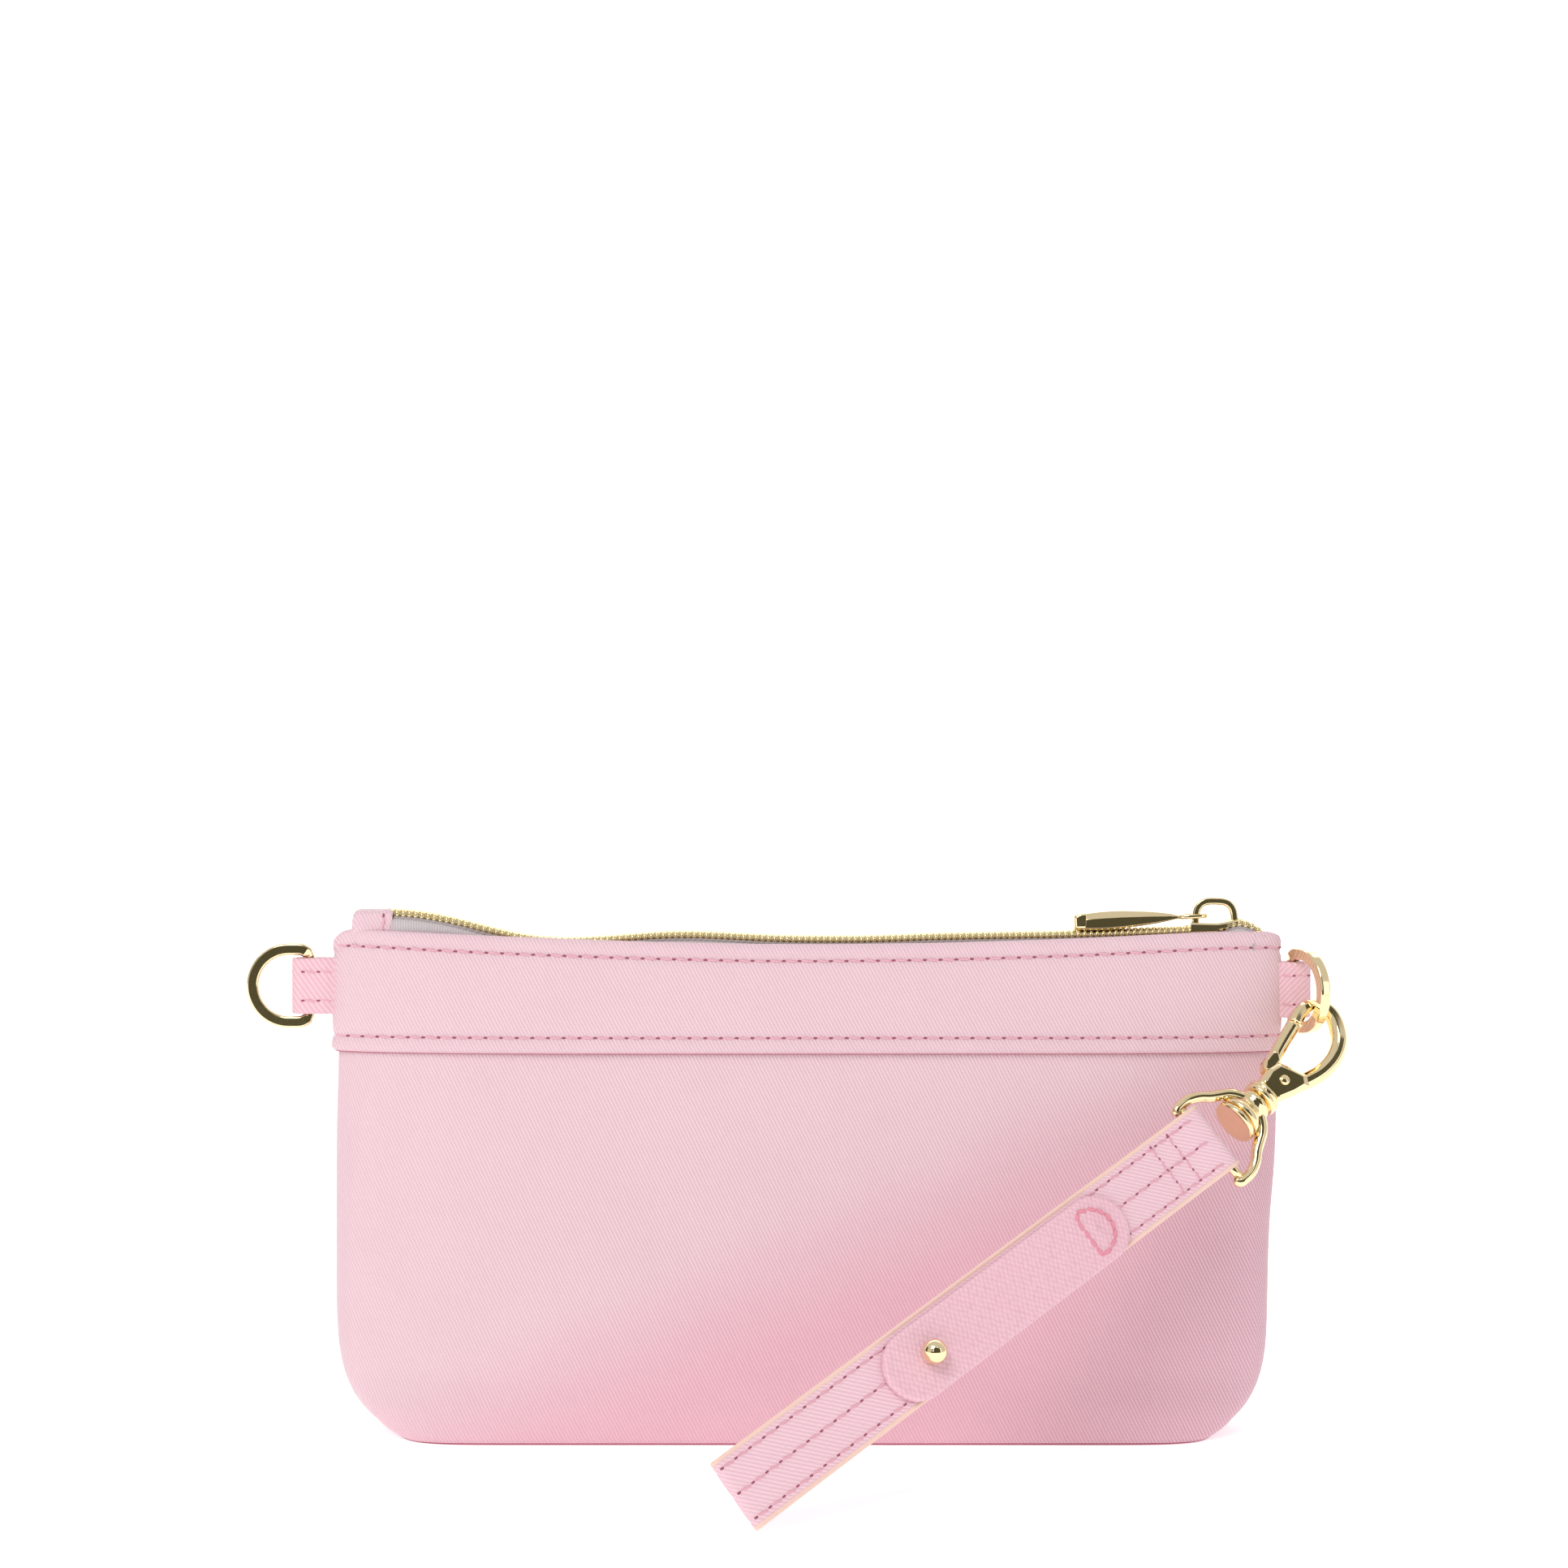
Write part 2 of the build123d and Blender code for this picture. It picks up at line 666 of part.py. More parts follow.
with BuildPart() as gate_pin:
    with BuildSketch(clasp_plane):
        with Locations(RIVET):
            Circle(0.8)
    extrude(amount=HOOK_DEPTH / 2 + 0.1, both=True)
    for face_side in (HOOK_DEPTH / 2 + 0.02, -HOOK_DEPTH / 2 - 0.42):
        with BuildSketch(clasp_plane.offset(face_side)):
            with Locations(RIVET):
                Circle(1.5)
        extrude(amount=0.4)
save(gate_pin, "gate_pin")

with BuildPart() as gate_spring:
    with BuildSketch(clasp_plane.offset(GATE_THICK / 2 + 0.1)):
        with Locations(RIVET):
            Circle(1.5)
            Circle(0.85, mode=Mode.SUBTRACT)
    extrude(amount=(SLOT_WIDE - GATE_THICK) / 2 - 0.2)
save(gate_spring, "gate_spring")


# ---------------------------------------------------------------- wrist strap
def strap_outline(skin):
    """Side view of the closed-up loop: round the bar, along, round the far fold."""
    bar_radius = FOLD_RADIUS + skin
    half = LAYER_GAP + skin
    far = STRAP_REACH - LAYER_GAP - STRAP_CLOTH - STRAP_BACKING
    with BuildSketch() as outline:
        with BuildLine():
            ThreePointArc((0, bar_radius), (bar_radius, 0), (0, -bar_radius))
            Polyline((0, -bar_radius), (-FOLD_RUN, -half), (-far, -half))
            ThreePointArc((-far, -half), (-far - half, 0), (-far, half))
            Polyline((-far, half), (-FOLD_RUN, half), (0, bar_radius))
        make_face()
    return outline.sketch


def strap_band(inner_skin, outer_skin, low_side, high_side):
    """Loop of cloth between two skins and two lines along the strap."""
    with BuildPart() as band:
        with BuildSketch(sideways(strap_plane, 0, high_side)):
            add(strap_outline(outer_skin))
        extrude(amount=high_side - low_side)
        with BuildSketch(sideways(strap_plane, 0, high_side + 1)):
            add(strap_outline(inner_skin))
        extrude(amount=high_side - low_side + 2, mode=Mode.SUBTRACT)
    return band.part


# Cutter for the stud's hole through the front layer.
with BuildPart() as stud_hole:
    with BuildSketch(strap_plane):
        with Locations((STUD_AT, KEEPER_OFFSET)):
            Circle(0.95)
    extrude(amount=4)

strap_skin = STRAP_BACKING + STRAP_CLOTH
cloth_side = STRAP_WIDTH / 2 - EDGE_PAINT

with BuildPart() as strap_backing:
    add(strap_band(0, STRAP_BACKING - 0.01, -cloth_side, cloth_side))
    add(stud_hole.part, mode=Mode.SUBTRACT)
save(strap_backing, "strap_backing")

with BuildPart() as strap_face:
    add(strap_band(STRAP_BACKING, strap_skin, -cloth_side, cloth_side))
    add(stud_hole.part, mode=Mode.SUBTRACT)
save(strap_face, "strap_face")

with BuildPart() as strap_edge_upper:
    add(strap_band(0, strap_skin, cloth_side + 0.01, STRAP_WIDTH / 2))
save(strap_edge_upper, "strap_edge_upper")

with BuildPart() as strap_edge_lower:
    add(strap_band(0, strap_skin, -STRAP_WIDTH / 2, -cloth_side - 0.01))
save(strap_edge_lower, "strap_edge_lower")

# ---------------------------------------------------------------- keeper tab and stud
strap_top = LAYER_GAP + strap_skin
KEEPER_LIFT = 0.25     # air under the moving part of the tab
keeper_top = strap_top + KEEPER_LIFT + KEEPER_THICK
HINGE_GAP = 0.3


# Long tab with two round ends, before it is parted at its hinge.
with BuildPart() as keeper_whole:
    with BuildSketch(strap_plane.offset(strap_top + CLOTH_GAP)):
        with Locations(((KEEPER_HIGH + KEEPER_LOW) / 2, KEEPER_OFFSET)):
            SlotOverall(KEEPER_HIGH - KEEPER_LOW, KEEPER_WIDTH)
    extrude(amount=keeper_top - strap_top - CLOTH_GAP)

with BuildPart() as keeper_anchor:
    add(keeper_whole.part)
    with BuildSketch(strap_plane):
        with Locations((KEEPER_HINGE + KEEPER_THICK / 2 + HINGE_GAP + 50, 0)):
            Rectangle(100, 40)
    extrude(amount=20, mode=Mode.INTERSECT)
save(keeper_anchor, "keeper_anchor")

with BuildPart() as keeper_tab:
    add(keeper_whole.part)
    with BuildSketch(strap_plane.offset(strap_top + KEEPER_LIFT)):
        with Locations((KEEPER_HINGE - 50, 0)):
            Rectangle(100, 40)
    extrude(amount=20, mode=Mode.INTERSECT)
    upper_side = KEEPER_WIDTH / 2 + KEEPER_OFFSET
    with BuildSketch(sideways(strap_plane, KEEPER_HINGE, upper_side, keeper_top - KEEPER_THICK / 2)):
        Circle(KEEPER_THICK / 2)
    extrude(amount=KEEPER_WIDTH)
    with BuildSketch(strap_plane):
        with Locations((STUD_AT, KEEPER_OFFSET)):
            Circle(KEEPER_HOLE)
    extrude(amount=20, mode=Mode.SUBTRACT)
save(keeper_tab, "keeper_tab")

ball_height = keeper_top + BALL_RADIUS * 0.85

with BuildPart() as stud_ball:
    with BuildSketch(strap_plane.offset(LAYER_GAP - 0.05)):
        with Locations((STUD_AT, KEEPER_OFFSET)):
            Circle(0.9)
    extrude(amount=ball_height - LAYER_GAP)
    with Locations(strap_plane.from_local_coords((STUD_AT, KEEPER_OFFSET, ball_height))):
        Sphere(BALL_RADIUS)
save(stud_ball, "stud_ball")

with BuildPart() as stud_base:
    with BuildSketch(strap_plane.offset(LAYER_GAP - 0.06)):
        with Locations((STUD_AT, KEEPER_OFFSET)):
            Circle(3.0)
    extrude(amount=-0.3)
save(stud_base, "stud_base")
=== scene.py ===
"""Looks for the wristlet wallet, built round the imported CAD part. Metres, Z up."""
import json
import math

import bmesh
import bpy
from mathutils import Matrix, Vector, noise


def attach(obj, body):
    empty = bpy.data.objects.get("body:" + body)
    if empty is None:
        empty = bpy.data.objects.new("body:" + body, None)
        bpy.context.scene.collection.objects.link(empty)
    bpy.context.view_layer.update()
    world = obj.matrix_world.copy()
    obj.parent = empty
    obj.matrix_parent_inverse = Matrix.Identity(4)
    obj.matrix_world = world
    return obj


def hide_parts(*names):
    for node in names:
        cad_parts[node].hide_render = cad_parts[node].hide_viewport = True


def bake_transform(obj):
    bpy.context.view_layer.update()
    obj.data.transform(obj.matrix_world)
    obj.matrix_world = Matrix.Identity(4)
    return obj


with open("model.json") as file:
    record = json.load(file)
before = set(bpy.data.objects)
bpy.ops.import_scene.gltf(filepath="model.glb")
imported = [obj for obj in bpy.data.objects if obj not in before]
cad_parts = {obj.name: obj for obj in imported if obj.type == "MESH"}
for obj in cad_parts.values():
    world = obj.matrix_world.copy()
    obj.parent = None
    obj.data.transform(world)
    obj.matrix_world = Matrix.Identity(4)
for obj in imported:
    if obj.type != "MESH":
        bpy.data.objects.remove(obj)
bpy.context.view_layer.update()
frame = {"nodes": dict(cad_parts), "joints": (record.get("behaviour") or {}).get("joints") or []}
joints = {joint["name"]: joint for joint in frame["joints"]}

MM = 0.001

# ---------------------------------------------------------------- shared sizes, millimetres
# Pouch outline: height, reach to the left, reach to the right, half depth.
POUCH_PROFILE = [
    (0, 93.3, 92.6, 15.0), (2, 97.2, 96.2, 16.0), (4.7, 101.2, 99.8, 16.4), (9.4, 105.0, 103.2, 16.8),
    (14.6, 106.9, 104.9, 16.8), (20, 107.9, 105.7, 16.5), (30, 108.4, 106.0, 15.8), (41, 108.4, 106.2, 14.7),
    (51, 108.4, 106.7, 13.3), (60, 108.4, 107.6, 12.2), (72, 108.3, 108.1, 10.8), (86, 107.9, 107.9, 9.1),
    (114, 107.9, 107.9, 6.2),
]
BAND_LOW = 87.4
BAND_HALF = 109
SIDES = ((-1, "front"), (1, "back"))
TWILL_PITCH = 0.74
UP = Vector((0, 0, 1))
ACROSS = Vector((0, 1, 0))


def value_at(rows, x, column=1):
    """Straight-line reading of a small table."""
    if x <= rows[0][0]:
        return rows[0][column]
    for low, high in zip(rows, rows[1:]):
        if x <= high[0]:
            part_way = (x - low[0]) / (high[0] - low[0])
            return low[column] + part_way * (high[column] - low[column])
    return rows[-1][column]


def smooth_at(rows, x, column=1, reach=7.0):
    """The same table with rounded corners."""
    return sum(value_at(rows, x + reach * k / 3, column) for k in range(-3, 4)) / 7


# ---------------------------------------------------------------- mesh helpers
def new_object(name, data):
    """Object in the scene."""
    made = bpy.data.objects.new(name, data)
    bpy.context.scene.collection.objects.link(made)
    return made


def mesh_piece(name, verts, faces, uvs, material, body, replaced=()):
    """Piece from millimetre points, riding a CAD body. One UV pair per point, or None for a plain one."""
    mesh = bpy.data.meshes.new(name)
    mesh.from_pydata([Vector(v) * MM for v in verts], [], faces)
    layer = mesh.uv_layers.new(name="cloth")
    for loop in mesh.loops:
        layer.data[loop.index].uv = uvs[loop.vertex_index] if uvs else (0, 0)
    mesh.polygons.foreach_set("use_smooth", [True] * len(mesh.polygons))
    mesh.materials.append(material)
    mesh.update()
    piece = new_object(name, mesh)
    if body:
        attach(piece, body)
    if replaced:
        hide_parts(*replaced)
    return piece


def grid(verts, across, closed_across=False, closed_along=False):
    """Faces of a sheet of points given row by row, with this many points across."""
    count = len(verts) // across
    faces = []
    for r in range(count if closed_along else count - 1):
        here = r * across
        beyond = (r + 1) % count * across
        for c in range(across if closed_across else across - 1):
            beside = (c + 1) % across
            faces.append((here + c, here + beside, beyond + beside, beyond + c))
    return faces


def closed_tube(verts, across):
    """Faces of a tube of rings with flat ends."""
    last = len(verts) - across
    return grid(verts, across, closed_across=True) + [tuple(range(across)), tuple(range(last, len(verts)))]


def recalc(piece):
    """Make the faces look outwards."""
    work = bmesh.new()
    work.from_mesh(piece.data)
    bmesh.ops.recalc_face_normals(work, faces=work.faces)
    work.to_mesh(piece.data)
    work.free()
    return piece


def ring_piece(name, verts, around, material, body, replaced=(), ends=False):
    """Piece of one material made of rings of points, with or without flat ends."""
    faces = closed_tube(verts, around) if ends else grid(verts, around, closed_across=True)
    return recalc(mesh_piece(name, verts, faces, None, material, body, replaced))


def add_wall(piece, thickness):
    """Give a sheet its thickness, in millimetres."""
    wall = piece.modifiers.new("wall", "SOLIDIFY")
    wall.thickness = thickness * MM
    wall.offset = -1


def add_bevel(piece, width, sharpest, segments=2):
    """Round the edges that turn by more than an angle in degrees."""
    bevel = piece.modifiers.new("bevel", "BEVEL")
    bevel.width = width * MM
    bevel.segments = segments
    bevel.limit_method = "ANGLE"
    bevel.angle_limit = math.radians(sharpest)
    return bevel


def flatten_shading(piece):
    """Flat faces for a faceted piece."""
    piece.data.polygons.foreach_set("use_smooth", [False] * len(piece.data.polygons))


def distances(points):
    """Distance of each point from the first, along the line."""
    total = [0.0]
    for p, q in zip(points, points[1:]):
        total.append(total[-1] + math.dist(p, q))
    return total


def ease(t):
    """Smooth rise from 0 at t = 0 to 1 at t = 1."""
    return t * t * (3 - 2 * t)


def swept(name, path, section, side, material, body, replaced=(), closed=False, size=None):
    """Bar along a path. Section points are (across the path, along side)."""
    verts, uvs = [], []
    count = len(path)
    runs, girths = distances(path), distances(section)
    for i, point in enumerate(path):
        before = path[(i - 1) % count] if closed or i > 0 else point
        after = path[(i + 1) % count] if closed or i < count - 1 else point
        outward = (after - before).normalized().cross(side).normalized()
        grow = size(i / max(1, count - 1)) if size else (1, 1)
        for girth, (a, b) in zip(girths, section):
            verts.append(point + outward * a * grow[0] + side * b * grow[1])
            uvs.append((runs[i], girth))
    around = len(section)
    if closed:
        faces = grid(verts, around, closed_across=True, closed_along=True)
    else:
        faces = closed_tube(verts, around)
    return recalc(mesh_piece(name, verts, faces, uvs, material, body, replaced))


def circle(radius, count):
    """Points round a circle."""
    turn = 2 * math.pi / count
    return [(radius * math.cos(turn * k), radius * math.sin(turn * k)) for k in range(count)]


def arc(radius, start, end, steps):
    """Points along an arc, angles in degrees, both ends included."""
    points = []
    for k in range(steps + 1):
        angle = math.radians(start + (end - start) * k / steps)
        points.append((radius * math.cos(angle), radius * math.sin(angle)))
    return points


def box_section(wide, deep, corner, steps=3):
    """Rectangle with rounded corners, across by along; extra points keep the flats flat."""
    points = []
    inside = 0.08 * min(wide, deep)
    for sx, sy, start in ((1, 1, 0), (-1, 1, 90), (-1, -1, 180), (1, -1, 270)):
        middle = Vector((sx * (wide / 2 - corner), sy * (deep / 2 - corner)))
        turn = [middle + Vector(p) for p in arc(corner, start, start + 90, steps)]
        first = turn[0] + Vector(arc(inside, start - 90, start, 1)[0])
        last = turn[-1] + Vector(arc(inside, start + 180, start, 1)[0])
        points += [tuple(p) for p in [first] + turn + [last]]
    return points


def facet_section(wide, deep, bevel, round_off=0.12):
    """Eight-sided bar with softened edges, across by along."""
    w, d = wide / 2, deep / 2
    corners = [(w, d - bevel), (w - bevel, d), (bevel - w, d), (-w, d - bevel),
               (-w, bevel - d), (bevel - w, -d), (w - bevel, -d), (w, bevel - d)]
    points = []
    for i, corner in enumerate(corners):
        here = Vector(corner)
        before = (Vector(corners[i - 1]) - here).normalized()
        after = (Vector(corners[(i + 1) % 8]) - here).normalized()
        for reach, way in ((2.2, before), (1.0, before), (1.0, after), (2.2, after)):
            points.append(tuple(here + way * reach * round_off))
    return points


def smooth_path(points, steps):
    """Curve through points (Catmull-Rom)."""
    padded = [points[0] * 2 - points[1]] + points + [points[-1] * 2 - points[-2]]
    path = []
    for p0, p1, p2, p3 in zip(padded, padded[1:], padded[2:], padded[3:]):
        for k in range(steps):
            t = k / steps
            path.append(0.5 * (
                2 * p1 + (p2 - p0) * t
                + (2 * p0 - 5 * p1 + 4 * p2 - p3) * t * t
                + (3 * p1 - p0 - 3 * p2 + p3) * t * t * t
            ))
    return path + [points[-1].copy()]


# ---------------------------------------------------------------- stitches
THREAD = 0.27
THREAD_SUNK = 0.02
HOLE = 0.24
HOLE_SUNK = 0.07
HOLE_FROM = 0.36       # start of a needle hole, in stitches past the middle of its stitch


def add_capsule(verts, faces, start, end, out, radius, sunk):
    """One stitch or needle hole: a short rounded thread lying along the cloth."""
    along = (end - start).normalized()
    side = along.cross(out).normalized()
    base = len(verts)
    rings, around = 7, 6
    for r in range(rings):
        t = r / (rings - 1)
        swell = math.sqrt(max(0.0, 1 - (2 * t - 1) ** 4)) * 0.92 + 0.08
        centre = start.lerp(end, t) + out * (radius * 0.25 * math.sin(math.pi * t) - sunk)
        verts += [centre + side * c + out * s * 0.8 for c, s in circle(radius * swell, around)]
    skin = grid(verts[base:], around, closed_across=True)
    faces += [tuple(base + corner for corner in face) for face in skin]


def stitch_row(name, path_at, length, material, body, pitch=3.5, radius=THREAD, slant=0.22, reach=0.36,
               holes=True):
    """Row of stitches. path_at(s) gives a point and the outward direction; reach is half a stitch."""
    verts, faces = [], []
    hole_verts, hole_faces = [], []
    count = max(1, int(length / pitch))
    step = length / count
    for i in range(count):
        middle = (i + 0.5) * step
        start, out = path_at(middle - reach * step)
        end = path_at(middle + reach * step)[0]
        across = (end - start).cross(out).normalized()
        wobble = 0.08 * math.sin(i * 12.9898)
        start -= across * (slant + wobble)
        end += across * slant
        add_capsule(verts, faces, start, end, out, radius, THREAD_SUNK)
        # Needle hole: a dark capsule, painted shade in the hole.
        hole, hole_out = path_at(middle + 0.5 * step)
        hole_start = path_at(middle + HOLE_FROM * step)[0]
        add_capsule(hole_verts, hole_faces, hole_start, hole * 2 - hole_start, hole_out, HOLE, HOLE_SUNK)
    mesh_piece(name, verts, faces, None, material, body)
    if holes:
        mesh_piece(name + "_holes", hole_verts, hole_faces, None, needle_hole_shade, body)


# ---------------------------------------------------------------- materials
def new_node(tree, kind, values=None, **settings):
    """Shader node with its settings, and constants or links on its sockets."""
    node = tree.nodes.new("ShaderNode" + kind)
    for name, setting in settings.items():
        setattr(node, name, setting)
    for socket, given in (values or {}).items():
        if isinstance(given, bpy.types.NodeSocket):
            tree.links.new(given, node.inputs[socket])
        else:
            node.inputs[socket].default_value = given
    return node


def new_material(name, values):
    """Material with one shader, its node tree and the shader."""
    material = bpy.data.materials.new(name)
    material.use_nodes = True
    tree = material.node_tree
    tree.nodes.clear()
    shader = new_node(tree, "BsdfPrincipled", values)
    new_node(tree, "OutputMaterial", {"Surface": shader.outputs["BSDF"]})
    return material, tree, shader


def calc(tree, operation, *given):
    """Math node fed by sockets or plain numbers."""
    return new_node(tree, "Math", dict(enumerate(given)), operation=operation).outputs[0]


def mix_colour(tree, factor, first, second, blend="MIX"):
    """Two colours mixed by a factor."""
    values = {"Factor": factor, "A": first, "B": second}
    return new_node(tree, "Mix", values, data_type="RGBA", blend_type=blend).outputs["Result"]


def add_bump(tree, shader, height, strength, distance):
    """Raise a pattern on a shader's surface; the distance is in metres."""
    bump = new_node(tree, "Bump", {"Strength": strength, "Distance": distance, "Height": height})
    tree.links.new(bump.outputs["Normal"], shader.inputs["Normal"])


def cloth_uv(tree):
    """Millimetres along and across the cloth."""
    return new_node(tree, "UVMap", uv_map="cloth").outputs["UV"]


def twill_height(tree, uv, pitch, angle):
    """Diagonal ribs with short thread marks."""
    split = new_node(tree, "SeparateXYZ", {0: uv}).outputs
    c, s = math.cos(math.radians(angle)), math.sin(math.radians(angle))
    across = calc(tree, "ADD", calc(tree, "MULTIPLY", split[0], s), calc(tree, "MULTIPLY", split[1], -c))
    along = calc(tree, "ADD", calc(tree, "MULTIPLY", split[0], c), calc(tree, "MULTIPLY", split[1], s))
    rib = calc(tree, "SINE", calc(tree, "MULTIPLY", across, 2 * math.pi / pitch))
    mark_along = calc(tree, "MULTIPLY", along, 2 * math.pi / (pitch * 1.3))
    mark_across = calc(tree, "MULTIPLY", across, math.pi / pitch)
    marks = calc(tree, "SINE", calc(tree, "ADD", mark_along, mark_across))
    return calc(tree, "MULTIPLY_ADD", marks, 0.08, rib)


def soft_step(tree, value, start, end):
    """Smooth ramp from 0 at start to 1 at end."""
    values = {"Value": value, "From Min": start, "From Max": end}
    return new_node(tree, "MapRange", values, interpolation_type="SMOOTHSTEP").outputs["Result"]


def painted_shade_low_right(tree, colour, uv, ribs):
    """Painted shade: deeper pink towards the lower right of the pouch, where the strap shades it and the
    cloth turns from the light, most of all in the furrows at the right.
    """
    split = new_node(tree, "SeparateXYZ", {0: uv}).outputs
    diagonal = calc(tree, "MULTIPLY_ADD", split[0], -0.43, split[1])
    low_down = soft_step(tree, diagonal, 58, 18)
    to_right = soft_step(tree, split[0], 25, 100)
    to_left = calc(tree, "SUBTRACT", 1.0, to_right)
    right_furrow = calc(tree, "MULTIPLY", to_right, calc(tree, "SUBTRACT", 1.0, ribs))
    for share, tint in (
        (to_left, (0.98, 0.81, 0.86, 1)),
        (to_right, (0.97, 0.89, 0.915, 1)),
        (right_furrow, (0.90, 0.79, 0.85, 1)),
    ):
        colour = mix_colour(tree, calc(tree, "MULTIPLY", share, low_down), colour, tint, "MULTIPLY")
    return colour


def twill_material(name, light, deep, angle, pitch=TWILL_PITCH, bump=0.9, roughness=0.55, low_right_shade=False):
    """Coated diagonal twill with bumped ribs; the ribs are painted lighter and the furrows deeper pink,
    painted shade in the furrows.
    """
    material, tree, shader = new_material(name, {
        "Roughness": roughness, "Specular IOR Level": 0.35, "Sheen Weight": 0.15, "Sheen Roughness": 0.4,
    })
    uv = cloth_uv(tree)
    height = twill_height(tree, uv, pitch, angle)
    ribs = new_node(tree, "MapRange", {"Value": height, "From Min": -1.2, "From Max": 1.0}).outputs["Result"]
    mottle = new_node(tree, "TexNoise", {"Vector": uv, "Scale": 0.05, "Detail": 3}).outputs["Fac"]
    # Colour from the rib height is painted shade in the furrows; the mottle is the cloth's own tone.
    factor = calc(tree, "ADD", calc(tree, "MULTIPLY", ribs, 0.8), calc(tree, "MULTIPLY", mottle, 0.25))
    colour = mix_colour(tree, factor, (*deep, 1), (*light, 1))
    # Painted shade towards the lower right of the pouch cloth.
    if low_right_shade:
        colour = painted_shade_low_right(tree, colour, uv, ribs)
    tree.links.new(colour, shader.inputs["Base Color"])
    add_bump(tree, shader, height, bump, 0.00006)
    return material


def plain_material(name, colour, roughness=0.5, metallic=0.0, specular=0.5, glow=(1, 1, 1), strength=0.0):
    """One colour, no pattern, and for the stage a glow."""
    return new_material(name, {
        "Base Color": (*colour, 1), "Roughness": roughness, "Metallic": metallic,
        "Specular IOR Level": specular, "Emission Color": (*glow, 1), "Emission Strength": strength,
    })[0]


def gold_material(name, colour, roughness):
    """Plated metal with faint waviness."""
    material, tree, shader = new_material(name, {
        "Base Color": (*colour, 1), "Metallic": 1.0, "Roughness": roughness,
    })
    place = new_node(tree, "TexCoord").outputs["Object"]
    wave = new_node(tree, "TexNoise", {"Vector": place, "Scale": 160, "Detail": 1}).outputs["Fac"]
    add_bump(tree, shader, wave, 0.12, 0.0003)
    return material


def grain_material(name, colour, deep):
    """Pebble-grain leather in staggered diagonal rows, darker between the pebbles as painted shade in the
    crevices.
    """
    material, tree, shader = new_material(name, {"Roughness": 0.42, "Specular IOR Level": 0.4})
    turned_uv = new_node(tree, "Mapping", {
        "Vector": cloth_uv(tree), "Rotation": (0, 0, math.radians(38)), "Scale": (1.25, 0.85, 1),
    }).outputs["Vector"]
    cells = new_node(tree, "TexVoronoi", {"Vector": turned_uv, "Scale": 0.95, "Randomness": 0.25})
    height = calc(tree, "SUBTRACT", 1.0, cells.outputs["Distance"])
    # Deeper colour in the low parts of the grain is painted shade in the crevices.
    colour_mix = mix_colour(tree, height, (*deep, 1), (*colour, 1))
    tree.links.new(colour_mix, shader.inputs["Base Color"])
    add_bump(tree, shader, height, 1.0, 0.0003)
    return material


PINK_LIGHT = (0.80, 0.595, 0.64)
PINK_DEEP = (0.69, 0.43, 0.49)
# The pouch cloth carries painted shade towards its lower right.
body_twill = twill_material("body_twill", PINK_LIGHT, PINK_DEEP, -64, low_right_shade=True)
band_twill = twill_material("band_twill", PINK_LIGHT, PINK_DEEP, -62)
tab_twill = twill_material("tab_twill", PINK_LIGHT, (0.78, 0.38, 0.46), -55, pitch=1.0)
strap_twill = twill_material("strap_twill", (0.86, 0.61, 0.67), (0.74, 0.44, 0.51), -46, pitch=0.8)
leather = grain_material("leather", (0.86, 0.57, 0.64), (0.70, 0.36, 0.43))
thread = plain_material("thread", (0.76, 0.41, 0.48), 0.6, specular=0.3)
strap_thread = plain_material("strap_thread", (0.72, 0.38, 0.45), 0.6, specular=0.3)
keeper_thread = plain_material("keeper_thread", (0.76, 0.28, 0.36), 0.5, specular=0.3)
# Needle holes: dark marks that are painted shade in the holes.
needle_hole_shade = plain_material("needle_hole_shade", (0.36, 0.10, 0.15), 0.9, specular=0.0)
# Painted shadow under the band's hem.
hem_painted_shadow = plain_material("hem_painted_shadow", (0.50, 0.20, 0.25), 0.9, specular=0.0)
# Painted contact shadow along the pouch's bottom edge.
base_contact_shadow = plain_material("base_contact_shadow", (0.42, 0.13, 0.18), 0.9, specular=0.0)
edge_paint = plain_material("edge_paint", (0.82, 0.57, 0.48), 0.38)
lining = twill_material("lining", (0.66, 0.47, 0.48), (0.58, 0.38, 0.40), 30, pitch=0.5, bump=0.3,
                        roughness=0.8)
tape_cloth = twill_material("tape_cloth", (0.62, 0.55, 0.56), (0.46, 0.40, 0.41), 88, pitch=0.6, bump=0.8,
                            roughness=0.6)
tape_cord = plain_material("tape_cord", (0.36, 0.31, 0.30), 0.55)
gold = gold_material("gold", (0.93, 0.76, 0.46), 0.06)
gold_coil = gold_material("gold_coil", (0.80, 0.66, 0.36), 0.25)
core_cord = plain_material("core_cord", (0.50, 0.42, 0.28), 0.6)
steel = plain_material("steel", (0.5, 0.5, 0.5), 0.3, metallic=1.0)

# ---------------------------------------------------------------- pouch cloth
# Swells and hollows of each side: height, middle and spread along X and Z.
SWELLS = {
    -1: ((0.7, -55, 55, 60, 40), (-0.45, 45, 30, 55, 26)),
    1: ((0.7, 30, 50, 70, 40), (-0.6, -50, 35, 50, 25)),
}


def shares(columns):
    """Even steps from -1 at the left seam to 1 at the right seam."""
    return [2 * c / columns - 1 for c in range(columns + 1)]


def low_rounded(z, column):
    """Reach or half depth, rounded where the outline bends."""
    return smooth_at(POUCH_PROFILE, z, column, reach=min(4.0, z))


def outline_point(share, z, side, proud=0.0):
    """Point of the pouch surface: share -1 to 1 across, side -1 front or 1 back."""
    half_width = low_rounded(z, 1 if share < 0 else 2) + proud
    half_depth = low_rounded(z, 3) + proud
    across = math.sin(share * math.pi / 2)
    power = 5.0 + 15.0 * max(0.0, 1 - z / 14) ** 1.5
    depth = math.sqrt(max(0.0, 1 - abs(across) ** power))
    return half_width * across, side * half_depth * depth


